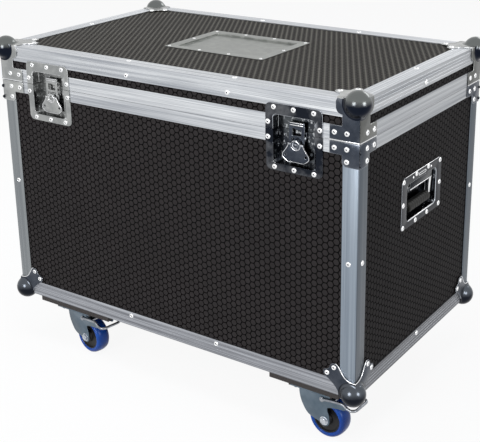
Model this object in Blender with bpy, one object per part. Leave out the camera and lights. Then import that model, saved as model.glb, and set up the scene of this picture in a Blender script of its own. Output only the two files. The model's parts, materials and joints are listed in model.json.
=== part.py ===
"""Four-way lighting flight case on casters.

Plywood panels in aluminium angle, a hinged lid, two recessed butterfly latches,
two recessed handles, ball corners, four swivel casters and a foam-lined inside
with four compartments. Metres, +Z up, origin on the floor under the middle.
"""
import math

import bmesh
import bpy
from mathutils import Matrix, Vector

# General fits
SEAT = 0.0003            # gap between pieces that touch
SHEET = 0.0012           # pressed steel of dishes and flanges
HARDWARE = 0.0015        # pressed steel of braces, corners and hinges

# Case, over its aluminium
CASE_WIDTH = 0.800
CASE_DEPTH = 0.474
CASE_HEIGHT = 0.530
LID_HEIGHT = 0.0705      # seam to top
PLY = 0.009
ANGLE_FLANGE = 0.030
ANGLE_WALL = 0.0015
ARRIS_RADIUS = 0.0025
RIB_COUNT = 4
RIB_WIDTH = 0.0012
RIB_DEPTH = 0.0004

# Rails that meet at the seam: a groove below, a tongue above
BASE_RAIL = 0.022
LID_RAIL = 0.026
RAIL_WALL = 0.0015
RAIL_INNER_LEG = 0.0140
GROOVE_INSET = 0.0044
GROOVE_WIDTH = 0.0048
GROOVE_DEPTH = 0.0039
TONGUE_WIDTH = 0.0025
TONGUE_SIDE_GAP = 0.0006
TONGUE_END_GAP = 0.0006
PLY_IN_RAIL = 0.0060     # seam to the edge of the plywood

# Ball corners and braces
BALL_RADIUS = 0.0225
BALL_INSET = 0.0070
BRACE_ARM = 0.054
BRACE_LEG = 0.031
BRACE_DROP = 0.0195      # leg of the lower brace below the rail
BRACE_CHAMFER = 0.005
EAR_REACH = 0.043
LOBE_RIVET_NEAR = 0.042
LOBE_RIVET_FAR = 0.056
LOBE_RADIUS = 0.0100
PAW_MOUTH = 0.037        # corner to where each extrusion leaves the paw
TOP_LOBE_SHARE = 0.80    # the lid's top lobe against the paw's

# Label dish on the lid
LABEL_WIDTH = 0.227
LABEL_DEPTH = 0.169
LABEL_FRAME = 0.018
LABEL_SINK = 0.0030
LABEL_SHEET = 0.0010

# Butterfly latches
LATCH_INSET = 0.122      # latch centre to the end of the case
LATCH_WIDTH = 0.110
LATCH_DROP = 0.0715
LATCH_RISE = 0.0455
LATCH_CORNER = 0.009
POCKET_WIDTH = 0.080
POCKET_DROP = 0.0585
POCKET_RISE = 0.026
POCKET_DEPTH = 0.0152
POCKET_CORNER = 0.007
CAM_DROP = 0.023         # cam axis below the seam
CAM_BASE_RADIUS = 0.012
CAM_BASE_THICK = 0.0020
ECCENTRIC_RADIUS = 0.006
ECCENTRIC_THROW = 0.004
BOSS_RADIUS = 0.009
BOSS_BACK = 0.0080       # behind the case face
BOSS_FRONT = 0.0030
WING_RADIUS = 0.0350     # furthest corner from the cam axis
WING_SHOULDER = 0.015
WING_HALF_WIDTH = 0.0265
WING_LENGTH = 0.031
WING_THICK = 0.0016
WING_TOP = 0.0020
WING_AXIS = 0.0058       # fold pin behind the case face
WING_HOLE = 0.0024
WING_PIN_RADIUS = 0.0015
PIN_CLEARANCE = 0.0003
TONGUE_PLATE = 0.0015
TONGUE_HALF = 0.015
TONGUE_LIP = 0.0023
TONGUE_BEAD = 0.0010
TONGUE_LIFT = 0.0027     # outward over its whole travel
WINDOW_CLEARANCE = 0.0012
WINDOW_FOOT = 0.0035
KEEPER_HALF = 0.013
KEEPER_LOW = 0.001
KEEPER_HIGH = 0.004
GUIDE_LENGTH = 0.010
GUIDE_WIDTH = 0.0016

# Handles on both ends
HANDLE_WIDTH = 0.160
HANDLE_HEIGHT = 0.0985
HANDLE_CENTRE = 0.3033   # above the case bottom
HANDLE_CORNER = 0.008
CUP_WIDTH = 0.118
CUP_LOW = 0.037
CUP_HIGH = 0.032
CUP_DEPTH = 0.022
CUP_CORNER = 0.010
BAIL_ROD = 0.0035
BAIL_HALF = 0.050
BAIL_HINGE_RISE = 0.024
BAIL_HINGE_SINK = 0.0085
GRIP_RADIUS = 0.0095
GRIP_HALF = 0.041
GRIP_DROP = 0.018
CLIP_HALF = 0.022
CLIP_WALL = 0.0022

# Hinges on the back
HINGE_INSET = 0.170      # hinge centre to the end of the case
HINGE_HALF = 0.045
KNUCKLE_RADIUS = 0.0040
KNUCKLE_HALF = 0.0157
HINGE_OUT = 0.0050       # pin axis outside the back
HINGE_PIN = 0.0016
HINGE_BORE = 0.0020
LEAF_GAP = 0.0045
LEAF_LENGTH = 0.0165

# Casters
WHEEL_WIDTH = 0.031
TYRE = 0.0105
HUB_RADIUS = 0.0105
WHEEL_FILLET = 0.002
CASTER_HEIGHT = 0.097
WHEEL_HEADROOM = 0.022   # tyre below the boards
CASTER_PLATE = 0.0025
PLATE_LENGTH = 0.088
PLATE_WIDTH = 0.066
CASTER_TRAIL = 0.024
CASTER_SETBACK = 0.033   # swivel axis behind the case face
FORK_PLATE = 0.0022
FORK_GAP = 0.0025
FORK_HALF = 0.030        # crown, fore and aft of the swivel axis
FORK_EYE = 0.011         # round end at the axle
FORK_NOSE = 0.038        # guard ahead of the crown
FORK_NOSE_DROP = 0.0165  # guard below the crown
RACE_RADIUS = 0.024
RACE_HEIGHT = 0.0057
KINGPIN_RADIUS = 0.006
KINGPIN_RISE = 0.004
AXLE_RADIUS = 0.004
BOLT_HEAD_RADIUS = 0.0065
BOLT_HEAD = 0.004
RUN_GAP = 0.0004
BOARD = 0.009
LEFT_BOARD_INSET = 0.055
LEFT_BOARD_WIDTH = 0.184
RIGHT_BOARD_INSET = 0.032
RIGHT_BOARD_WIDTH = 0.143
LEFT_SWIVEL_INSET = 0.144
RIGHT_SWIVEL_INSET = 0.090
FRONT_LEFT_TURN = -10.0
FRONT_RIGHT_TURN = -3.0
REAR_LEFT_TURN = 6.0
REAR_RIGHT_TURN = 174.0
PEDAL_PIVOT_X = 0.020
PEDAL_PIVOT_DROP = 0.017 # pivot below the boards
PEDAL_REACH = 0.088
PEDAL_RISE = 0.0055      # arms above the pivot, over the guard
PEDAL_DROP = 0.001       # bar below the pivot
PEDAL_ARM = 0.0030
PEDAL_BAR = 0.0030
PEDAL_EYE = 0.0048
PEDAL_PIN = 0.0025
SHOE_LENGTH = 0.022      # brake shoe ahead of the pivot
SHOE_HEEL = 0.006
SHOE_HALF = 0.015
SHOE_LOW = 0.0026
SHOE_HIGH = 0.0010

# Inside
FOAM_WALL = 0.020
FOAM_FLOOR = 0.020
FOAM_BELOW_SEAM = 0.018
DIVIDER = 0.016
DIVIDER_HEIGHT = 0.370
LID_FOAM = 0.036
NOTCH_GAP = 0.0012

# Facets
ROUND = 20
FINE = 24

# Worked out from the sizes above
BASE_Z = CASTER_HEIGHT + BOARD + SEAT
TOP_Z = BASE_Z + CASE_HEIGHT
SEAM_Z = TOP_Z - LID_HEIGHT
SKIN = ANGLE_WALL + SEAT             # case face to plywood
INNER = SKIN + PLY                   # case face to the inside of the plywood
POCKET_FLOOR = -POCKET_DEPTH
TONGUE_INSET = GROOVE_INSET + TONGUE_SIDE_GAP
RAIL_WIDTH = INNER + SEAT + RAIL_WALL
WHEEL_RADIUS = (CASTER_HEIGHT - WHEEL_HEADROOM) / 2
PEDAL_PIVOT_Z = CASTER_HEIGHT - PEDAL_PIVOT_DROP
TONGUE_TRAVEL = 2 * ECCENTRIC_THROW
SWIVEL_Y = CASE_DEPTH / 2 - CASTER_SETBACK
LATCH_X = CASE_WIDTH / 2 - LATCH_INSET
HINGE_X = CASE_WIDTH / 2 - HINGE_INSET


def clear_scene():
    for thing in list(bpy.data.objects):
        bpy.data.objects.remove(thing, do_unlink=True)


def material(name, colour, roughness, metallic):
    finish = bpy.data.materials.new(name)
    finish.use_nodes = True
    shader = finish.node_tree.nodes["Principled BSDF"]
    shader.inputs["Base Color"].default_value = (*colour, 1.0)
    shader.inputs["Roughness"].default_value = roughness
    shader.inputs["Metallic"].default_value = metallic
    finish.diffuse_color = (*colour, 1.0)
    return finish


def to_mesh(shape, name="solid"):
    bmesh.ops.recalc_face_normals(shape, faces=shape.faces)
    mesh = bpy.data.meshes.new(name)
    shape.to_mesh(mesh)
    shape.free()
    return mesh


def block(x, y, z):
    """A box between pairs of limits."""
    shape = bmesh.new()
    bmesh.ops.create_cube(shape, size=1.0)
    for vertex in shape.verts:
        for axis, (low, high) in enumerate((x, y, z)):
            vertex.co[axis] = high if vertex.co[axis] > 0 else low
    return to_mesh(shape)


def plate(outline, low, high):
    """A flat outline in X and Y, thickened from low to high along Z."""
    shape = bmesh.new()
    face = shape.faces.new([shape.verts.new((x, y, low)) for x, y in outline])
    grown = bmesh.ops.extrude_face_region(shape, geom=[face])
    raised = [item for item in grown["geom"] if isinstance(item, bmesh.types.BMVert)]
    bmesh.ops.translate(shape, verts=raised, vec=(0, 0, high - low))
    return to_mesh(shape)


def disc(radius, low, high, centre=(0, 0), facets=ROUND):
    return plate(arc(centre, radius, 0, 360, facets)[:-1], low, high)


def rod(radius, start, end, facets=12):
    """A round bar between two points."""
    start, end = Vector(start), Vector(end)
    mesh = disc(radius, 0, (end - start).length, facets=facets)
    turn = (end - start).to_track_quat("Z", "Y").to_matrix().to_4x4()
    mesh.transform(Matrix.Translation(start) @ turn)
    return mesh


def ball(radius, centre):
    shape = bmesh.new()
    bmesh.ops.create_uvsphere(shape, u_segments=ROUND, v_segments=ROUND // 2, radius=radius)
    bmesh.ops.translate(shape, verts=shape.verts, vec=centre)
    return to_mesh(shape)


def arc(centre, radius, start, end, steps):
    """Points round a circle, from one angle to another in degrees."""
    points = []
    for step in range(steps + 1):
        angle = math.radians(start + (end - start) * step / steps)
        points.append((centre[0] + radius * math.cos(angle), centre[1] + radius * math.sin(angle)))
    return points


def rounded(x, y, radius, corners=(True, True, True, True), steps=4):
    """A rectangle with some corners rounded: low-left, low-right, high-right, high-left."""
    (left, right), (low, high) = x, y
    middles = ((left + radius, low + radius), (right - radius, low + radius),
               (right - radius, high - radius), (left + radius, high - radius))
    square = ((left, low), (right, low), (right, high), (left, high))
    points = []
    for index, is_round in enumerate(corners):
        if is_round:
            points += arc(middles[index], radius, 180 + 90 * index, 270 + 90 * index, steps)
        else:
            points.append(square[index])
    return points


def turned(profile, facets=FINE):
    """A closed section of (radius, height) points turned round Z."""
    shape = bmesh.new()
    rings = []
    for step in range(facets):
        angle = 2 * math.pi * step / facets
        rings.append([shape.verts.new((r * math.cos(angle), r * math.sin(angle), h)) for r, h in profile])
    for here, after in zip(rings, rings[1:] + rings[:1]):
        for index in range(len(profile)):
            follow = (index + 1) % len(profile)
            shape.faces.new((here[index], after[index], after[follow], here[follow]))
    return to_mesh(shape)


def mitred_ring(profile):
    """A section of (inset, z) points carried round the case, mitred at its corners."""
    shape = bmesh.new()
    rings = []
    for side_x, side_y in ((-1, -1), (1, -1), (1, 1), (-1, 1)):
        rings.append([shape.verts.new((side_x * (CASE_WIDTH / 2 - inset), side_y * (CASE_DEPTH / 2 - inset), z))
                      for inset, z in profile])
    for here, after in zip(rings, rings[1:] + rings[:1]):
        for index in range(len(profile)):
            follow = (index + 1) % len(profile)
            shape.faces.new((here[index], after[index], after[follow], here[follow]))
    return to_mesh(shape)


def moved(mesh, *steps):
    """The mesh carried through matrices, in order."""
    for step in steps:
        mesh.transform(step)
    return mesh


def combine(solids, cuts=()):
    """The union of some solids less some cuts, as one mesh."""
    made = []
    for mesh in (*solids, *cuts):
        thing = bpy.data.objects.new("step", mesh)
        bpy.context.collection.objects.link(thing)
        made.append(thing)
    target = made[0]
    for index, tool in enumerate(made[1:], start=1):
        change = target.modifiers.new("step", "BOOLEAN")
        change.operation = "UNION" if index < len(solids) else "DIFFERENCE"
        change.solver = "EXACT"
        change.object = tool
    evaluated = target.evaluated_get(bpy.context.evaluated_depsgraph_get())
    mesh = bpy.data.meshes.new_from_object(evaluated)
    for thing in made:
        bpy.data.objects.remove(thing, do_unlink=True)
    return mesh


def add(name, mesh, finish, place=None, parent=None, smooth=False):
    """One named piece of the case."""
    thing = bpy.data.objects.new(name, mesh)
    bpy.context.collection.objects.link(thing)
    if not mesh.materials:
        mesh.materials.append(finish)
    if smooth:
        mesh.shade_smooth()
        mesh.set_sharp_from_angle(angle=math.radians(35))
    if place is not None:
        thing.matrix_world = place
    if parent is not None:
        bpy.context.view_layer.update()
        thing.parent = parent
        thing.matrix_parent_inverse = parent.matrix_world.inverted()
    return thing


def empty(name, place, parent=None):
    thing = bpy.data.objects.new(name, None)
    bpy.context.collection.objects.link(thing)
    thing.matrix_world = place
    if parent is not None:
        bpy.context.view_layer.update()
        thing.parent = parent
        thing.matrix_parent_inverse = parent.matrix_world.inverted()
    bpy.context.view_layer.update()
    return thing


def frame_at(origin, right, up):
    """A frame whose X runs right, Y up and Z out of a face of the case."""
    right, up = Vector(right), Vector(up)
    out = right.cross(up)
    turn = Matrix((right, up, out)).transposed().to_4x4()
    return Matrix.Translation(origin) @ turn


def corner_frame(index, z):
    """A frame at one vertical edge: X and Y run inwards along the two faces."""
    side_x, side_y = ((-1, -1), (1, -1), (1, 1), (-1, 1))[index]
    place = Matrix.Translation((side_x * CASE_WIDTH / 2, side_y * CASE_DEPTH / 2, z))
    return place @ Matrix.Rotation(math.radians(90 * index), 4, "Z")


def ribbed(start, end, out):
    """A run from start to end whose face has shallow ribs; out points away from the metal."""
    start, end, out = Vector(start), Vector(end), Vector(out)
    along = end - start
    pitch = along.length / (RIB_COUNT + 1)
    points = [start]
    for rib in range(RIB_COUNT):
        middle = start + along.normalized() * pitch * (rib + 1)
        edge = along.normalized() * RIB_WIDTH / 2
        points += [middle - edge, middle - edge / 2 - out * RIB_DEPTH,
                   middle + edge / 2 - out * RIB_DEPTH, middle + edge]
    points.append(end)
    return [tuple(point) for point in points]


def front_frame(x, z):
    return frame_at((x, -CASE_DEPTH / 2, z), (1, 0, 0), (0, 0, 1))


def back_frame(x, z):
    return frame_at((x, CASE_DEPTH / 2, z), (-1, 0, 0), (0, 0, 1))


def end_frame(side, z):
    return frame_at((side * CASE_WIDTH / 2, 0, z), (0, side, 0), (0, 0, 1))


def panels(finish):
    """The five panels of the base, cut for the latches and handles."""
    wide, deep = CASE_WIDTH / 2, CASE_DEPTH / 2
    low, high = BASE_Z + SKIN, SEAM_Z - PLY_IN_RAIL
    latch_cuts = [moved(dish_cut(), front_frame(side * LATCH_X, SEAM_Z)) for side in (-1, 1)]
    front = combine([block((-wide + SKIN, wide - SKIN), (-deep + SKIN, -deep + INNER), (low, high))], latch_cuts)
    add("front_panel", front, finish)
    add("back_panel", block((-wide + SKIN, wide - SKIN), (deep - INNER, deep - SKIN), (low, high)), finish)
    inside = deep - INNER - SEAT
    for name, side in (("left_panel", -1), ("right_panel", 1)):
        limits = sorted((side * (wide - SKIN), side * (wide - INNER)))
        cut = moved(cup_cut(), end_frame(side, BASE_Z + HANDLE_CENTRE))
        add(name, combine([block(limits, (-inside, inside), (low, high))], [cut]), finish)
    edge = wide - INNER - SEAT
    add("floor_panel", block((-edge, edge), (-inside, inside), (low, low + PLY)), finish)


def dish_cut():
    """The hole for a latch dish through panel and rail, in the latch frame."""
    half = POCKET_WIDTH / 2 + SHEET + SEAT * 2
    outline = rounded((-half, half), (-POCKET_DROP - SHEET - SEAT * 2, POCKET_RISE + SHEET + SEAT * 2),
                      POCKET_CORNER)
    return plate(outline, -INNER * 2, SHEET)


def cup_cut():
    """The hole for a handle cup, in the handle frame."""
    half = CUP_WIDTH / 2 + SHEET + SEAT * 2
    outline = rounded((-half, half), (-CUP_LOW - SHEET - SEAT * 2, CUP_HIGH + SHEET + SEAT * 2), CUP_CORNER)
    return plate(outline, -INNER * 2, SHEET)


def rail_cuts(low, high):
    """What is taken out of the front of a rail frame: its middle and both latch holes."""
    reach = LATCH_X + POCKET_WIDTH / 2 + SHEET + SEAT * 2
    return block((-reach, reach), (-CASE_DEPTH, -CASE_DEPTH / 2 + RAIL_WIDTH * 2), (low, high))


def rail_middle(profile):
    """The length of rail between the two latches."""
    reach = LATCH_X - POCKET_WIDTH / 2 - SHEET - SEAT * 2
    outline = [(inset, z) for inset, z in profile]
    mesh = plate(outline, -reach, reach)
    turn = Matrix(((0, 0, 1, 0), (1, 0, 0, -CASE_DEPTH / 2), (0, 1, 0, 0), (0, 0, 0, 1)))
    return moved(mesh, turn)


def base_rail_profile():
    top = SEAM_Z - SEAT
    edge = SEAM_Z - PLY_IN_RAIL + SEAT
    inner = RAIL_WIDTH - RAIL_WALL
    return [(0, SEAM_Z - BASE_RAIL), (0, top), (GROOVE_INSET, top), (GROOVE_INSET, top - GROOVE_DEPTH),
            (GROOVE_INSET + GROOVE_WIDTH, top - GROOVE_DEPTH), (GROOVE_INSET + GROOVE_WIDTH, top),
            (RAIL_WIDTH, top), (RAIL_WIDTH, SEAM_Z - RAIL_INNER_LEG), (inner, SEAM_Z - RAIL_INNER_LEG),
            (inner, edge), (RAIL_WALL, edge), (RAIL_WALL, SEAM_Z - BASE_RAIL)]


def lid_rail_profile():
    low = SEAM_Z + SEAT
    edge = SEAM_Z + PLY_IN_RAIL - SEAT
    inner = RAIL_WIDTH - RAIL_WALL
    tip = SEAM_Z - SEAT - GROOVE_DEPTH + TONGUE_END_GAP
    return [(0, SEAM_Z + LID_RAIL), (0, low), (TONGUE_INSET, low), (TONGUE_INSET, tip),
            (TONGUE_INSET + TONGUE_WIDTH, tip), (TONGUE_INSET + TONGUE_WIDTH, low), (RAIL_WIDTH, low),
            (RAIL_WIDTH, SEAM_Z + RAIL_INNER_LEG), (inner, SEAM_Z + RAIL_INNER_LEG), (inner, edge),
            (RAIL_WALL, edge), (RAIL_WALL, SEAM_Z + LID_RAIL)]


def frames(finish, lid):
    """Aluminium angle round the top and bottom, and the two rails at the seam."""
    up = ribbed((0, BASE_Z), (0, BASE_Z + ANGLE_FLANGE), (-1, 0))
    bottom = [(ANGLE_FLANGE, BASE_Z), *up, (ANGLE_WALL, BASE_Z + ANGLE_FLANGE),
              (ANGLE_WALL, BASE_Z + ANGLE_WALL), (ANGLE_FLANGE, BASE_Z + ANGLE_WALL)]
    add("bottom_edge_frame", mitred_ring(bottom), finish)
    up = ribbed((0, TOP_Z - ANGLE_FLANGE), (0, TOP_Z), (-1, 0))
    across = ribbed((0, TOP_Z), (ANGLE_FLANGE, TOP_Z), (0, 1))
    top = [*up, *across[1:], (ANGLE_FLANGE, TOP_Z - ANGLE_WALL), (ANGLE_WALL, TOP_Z - ANGLE_WALL),
           (ANGLE_WALL, TOP_Z - ANGLE_FLANGE)]
    add("lid_edge_frame", mitred_ring(top), finish, parent=lid)
    base_cut = rail_cuts(SEAM_Z - BASE_RAIL * 2, SEAM_Z + LID_RAIL)
    lid_cut = rail_cuts(SEAM_Z - BASE_RAIL, SEAM_Z + LID_RAIL * 2)
    add("base_rail_frame", combine([mitred_ring(base_rail_profile())], [base_cut]), finish)
    add("base_rail_front", rail_middle(base_rail_profile()), finish)
    add("lid_rail_frame", combine([mitred_ring(lid_rail_profile())], [lid_cut]), finish, parent=lid)
    add("lid_rail_front", rail_middle(lid_rail_profile()), finish, parent=lid)


def lid_shell(finish, steel, lid):
    """The plywood of the lid and the label dish let into its top."""
    wide, deep = CASE_WIDTH / 2 - SKIN, CASE_DEPTH / 2 - SKIN
    top = TOP_Z - SKIN
    half_width, half_depth = LABEL_WIDTH / 2 - LABEL_FRAME, LABEL_DEPTH / 2 - LABEL_FRAME
    gap = LABEL_SHEET + SEAT * 2
    recess = block((-half_width - gap, half_width + gap), (-half_depth - gap, half_depth + gap),
                   (top - LABEL_SINK - gap, top + PLY))
    board = block((-wide, wide), (-deep, deep), (top - PLY, top))
    add("lid_top_panel", combine([board], [recess]), finish, parent=lid)
    low, high = SEAM_Z + PLY_IN_RAIL, top - PLY - SEAT
    band = mitred_ring([(SKIN, low), (SKIN, high), (INNER, high), (INNER, low)])
    latch_cuts = [moved(dish_cut(), front_frame(side * LATCH_X, SEAM_Z)) for side in (-1, 1)]
    add("lid_band", combine([band], latch_cuts), finish, parent=lid)

    edge_x, edge_y = LABEL_WIDTH / 2, LABEL_DEPTH / 2
    face = top + SEAT
    flange = plate(rounded((-edge_x, edge_x), (-edge_y, edge_y), HARDWARE * 2), face, face + LABEL_SHEET)
    tray = block((-half_width - LABEL_SHEET, half_width + LABEL_SHEET),
                 (-half_depth - LABEL_SHEET, half_depth + LABEL_SHEET),
                 (face - LABEL_SINK - LABEL_SHEET, face + LABEL_SHEET / 2))
    hollow = block((-half_width, half_width), (-half_depth, half_depth), (face - LABEL_SINK, face + PLY))
    add("label_dish", combine([flange, tray], [hollow]), steel, parent=lid)


def case_block(low, high):
    """The volume inside a case corner, grown by the seat gap, in the corner frame."""
    far = BRACE_ARM * 3
    return block((-SEAT, far), (-SEAT, far), (low, high))


def face_pair(outline):
    """The same outline on both faces of a corner, deep enough to be cut back to a sheet."""
    depth = SEAT + HARDWARE
    on_front = moved(plate(outline, -HARDWARE, depth),
                     Matrix(((1, 0, 0, 0), (0, 0, -1, 0), (0, 1, 0, 0), (0, 0, 0, 1))))
    on_side = on_front.copy()
    on_side.transform(Matrix(((0, 1, 0, 0), (1, 0, 0, 0), (0, 0, 1, 0), (0, 0, 0, 1))))
    on_side.flip_normals()
    return [on_front, on_side]


def paw_outline(mouth, near, far, radius):
    """Outline of a corner lobe in its quarter of a face, the same both ways."""
    back = -SEAT - HARDWARE
    side = (near + far) / 2 - radius * 0.35
    wrap = mouth * 0.8
    half = [(back, back), (wrap, back), (wrap, 0), (mouth, 0), (mouth + radius * 0.45, mouth * 0.42),
            (side + radius * 0.55, mouth * 0.74)]
    lower = arc((far, near), radius, -65, 35, 4)
    upper = [(y, x) for x, y in reversed(lower)]
    rest = [(y, x) for x, y in reversed(half[1:])]
    return [*half, *lower, *upper, *rest]


def lid_corner_mesh():
    """Ball corner of the lid with its ears, top lobe and the leg down to the seam."""
    back = -SEAT - HARDWARE
    low = SEAM_Z + SEAT * 2
    arm = SEAM_Z + LID_RAIL
    ear = TOP_Z - ANGLE_FLANGE
    outline = [(back, low), (BRACE_ARM, low), (BRACE_ARM, arm - SEAT), (BRACE_LEG, arm - SEAT),
               (BRACE_LEG, ear - SEAT), *arc((BRACE_LEG, ear + 0.012), 0.012, -90, 0, 4)[1:],
               (EAR_REACH, TOP_Z - HARDWARE), (EAR_REACH - HARDWARE, TOP_Z - back), (back, TOP_Z - back)]
    share = TOP_LOBE_SHARE
    top = plate(paw_outline(EAR_REACH, LOBE_RIVET_NEAR * share, LOBE_RIVET_FAR, LOBE_RADIUS),
                TOP_Z - HARDWARE, TOP_Z - back)
    sphere = ball(BALL_RADIUS, (BALL_INSET, BALL_INSET, TOP_Z - BALL_INSET))
    return combine([*face_pair(outline), top, sphere], [case_block(BASE_Z, TOP_Z + SEAT)])


def base_corner_mesh():
    """Ball corner of the base: a paw that grips the post and both bottom angles."""
    outline = [(x, BASE_Z + y) for x, y in
               paw_outline(PAW_MOUTH, LOBE_RIVET_NEAR, LOBE_RIVET_FAR, LOBE_RADIUS)]
    sphere = ball(BALL_RADIUS, (BALL_INSET, BALL_INSET, BASE_Z + BALL_INSET))
    return combine([*face_pair(outline), sphere], [case_block(BASE_Z - SEAT, TOP_Z)])


def post_mesh():
    """A corner post of angle with the lower brace folded round its top."""
    low, high = BASE_Z + ANGLE_FLANGE + SEAT, SEAM_Z - BASE_RAIL - SEAT
    outer = arc((ARRIS_RADIUS, ARRIS_RADIUS), ARRIS_RADIUS, 180, 270, 3)
    angle = plate([*outer, (ANGLE_FLANGE, 0), (ANGLE_FLANGE, ANGLE_WALL), (ANGLE_WALL, ANGLE_WALL),
                   (ANGLE_WALL, ANGLE_FLANGE), (0, ANGLE_FLANGE)], low, high)
    back = -SEAT - HARDWARE
    arm, foot, top = SEAM_Z - BASE_RAIL, SEAM_Z - BASE_RAIL - BRACE_DROP, SEAM_Z - SEAT * 2
    outline = [(back, foot), (BRACE_LEG - BRACE_CHAMFER, foot), (BRACE_LEG, foot + BRACE_CHAMFER),
               (BRACE_LEG, arm), (BRACE_ARM, arm), (BRACE_ARM, top), (back, top)]
    brace = combine(face_pair(outline), [case_block(BASE_Z, TOP_Z)])
    step = ANGLE_WALL / 3
    reach = ANGLE_FLANGE - step
    pad = plate([(-HARDWARE / 2, -HARDWARE / 2), (reach, -HARDWARE / 2), (reach, step), (step, step),
                 (step, reach), (-HARDWARE / 2, reach)], foot + BRACE_CHAMFER, high - step)
    return combine([angle, pad, brace])


def corners(alloy, steel, lid):
    names = ("front_left", "front_right", "back_right", "back_left")
    lid_mesh, base_mesh, post = lid_corner_mesh(), base_corner_mesh(), post_mesh()
    for index, name in enumerate(names):
        place = corner_frame(index, 0)
        add("corner_post_" + name, post, alloy, place)
        add("base_corner_" + name, base_mesh, steel, place, smooth=True)
        add("lid_corner_" + name, lid_mesh, steel, place, parent=lid, smooth=True)


def lower_dish_mesh():
    """Lower half of a latch dish: flange stepped over the rail, pocket and tongue guides."""
    half, wide = POCKET_WIDTH / 2, LATCH_WIDTH / 2
    step = -BASE_RAIL - SEAT
    face = -SKIN + SEAT
    over_rail = block((-wide, wide), (step - SHEET, -SEAT), (SEAT, SEAT + SHEET))
    on_panel = plate(rounded((-wide, wide), (-LATCH_DROP, step - SHEET / 2), LATCH_CORNER,
                             (True, True, False, False)), face, face + SHEET)
    joggle = block((-wide, wide), (step - SHEET, step), (face, SEAT + SHEET))
    tub = plate(rounded((-half - SHEET, half + SHEET), (-POCKET_DROP - SHEET, -SEAT), POCKET_CORNER,
                        (True, True, False, False)), POCKET_FLOOR - SHEET, SEAT + SHEET / 2)
    hollow = plate(rounded((-half, half), (-POCKET_DROP, SHEET), POCKET_CORNER - SHEET,
                           (True, True, False, False)), POCKET_FLOOR, SHEET * 4)
    dish = combine([over_rail, on_panel, joggle, tub], [hollow])
    guides = []
    for side in (-1, 1):
        edges = sorted((side * (TONGUE_HALF + SEAT), side * (TONGUE_HALF + SEAT + GUIDE_WIDTH)))
        guides.append(block(edges, (-GUIDE_LENGTH, -SEAT * 2),
                            (POCKET_FLOOR - SHEET / 2, POCKET_FLOOR + TONGUE_PLATE * 2)))
    return combine([dish, *guides])


def upper_dish_mesh():
    """Upper half of a latch dish with the keeper that the tongue reaches over."""
    half, wide = POCKET_WIDTH / 2, LATCH_WIDTH / 2
    flange = plate(rounded((-wide, wide), (SEAT, LATCH_RISE), LATCH_CORNER, (False, False, True, True)),
                   SEAT, SEAT + SHEET)
    tub = plate(rounded((-half - SHEET, half + SHEET), (SEAT, POCKET_RISE + SHEET), POCKET_CORNER,
                        (False, False, True, True)), POCKET_FLOOR - SHEET, SEAT + SHEET / 2)
    hollow = plate(rounded((-half, half), (-SHEET, POCKET_RISE), POCKET_CORNER - SHEET,
                           (False, False, True, True)), POCKET_FLOOR, SHEET * 4)
    dish = combine([flange, tub], [hollow])
    keeper = block((-KEEPER_HALF, KEEPER_HALF), (KEEPER_LOW, KEEPER_HIGH),
                   (POCKET_FLOOR - SHEET / 2, tongue_back() - SEAT))
    return combine([dish, keeper])


def tongue_back():
    """Back of the tongue plate when locked, measured out of the case face."""
    return POCKET_FLOOR + SEAT + CAM_BASE_THICK + SEAT


def cam_mesh():
    """Cam: a round base, the eccentric that drives the tongue and the boss that holds the wing."""
    low = POCKET_FLOOR + SEAT
    base = disc(CAM_BASE_RADIUS, low, low + CAM_BASE_THICK)
    eccentric = disc(ECCENTRIC_RADIUS, low + CAM_BASE_THICK / 2, -BOSS_BACK + SEAT, (0, ECCENTRIC_THROW))
    boss = disc(BOSS_RADIUS, -BOSS_BACK, -BOSS_FRONT)
    bore = rod(WING_PIN_RADIUS + PIN_CLEARANCE, (-BOSS_RADIUS * 2, 0, -WING_AXIS), (BOSS_RADIUS * 2, 0, -WING_AXIS))
    return combine([base, eccentric, boss], [bore])


def wing_mesh():
    """Butterfly wing: a bell-shaped plate that folds on a pin through the cam's boss."""
    foot = math.degrees(math.acos(WING_LENGTH / WING_RADIUS))
    cheek = math.degrees(math.asin(WING_HALF_WIDTH / WING_RADIUS))
    flare = WING_LENGTH * 0.60
    right = [*arc((0, 0), WING_RADIUS, foot - 90, cheek - 90, 3), (WING_HALF_WIDTH, -flare),
             (WING_HALF_WIDTH * 0.80, -flare * 0.62), (WING_SHOULDER * 1.06, -flare * 0.2),
             (WING_SHOULDER, WING_TOP)]
    notch = BOSS_RADIUS + PIN_CLEARANCE * 2
    start = math.degrees(math.asin(WING_TOP / notch))
    cup = arc((0, 0), notch, start, -180 - start, 10)
    left = [(-x, y) for x, y in reversed(right)]
    outline = [*right, *cup, *left]
    half = WING_THICK / 2
    pin = rod(WING_PIN_RADIUS, (-WING_SHOULDER + half, 0, 0), (WING_SHOULDER - half, 0, 0))
    holes = [disc(WING_HOLE, -half * 2, half * 2, (side * WING_HALF_WIDTH * 0.74, -flare), 10)
             for side in (-1, 1)]
    return combine([plate(outline, -half, half), pin], holes)


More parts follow.
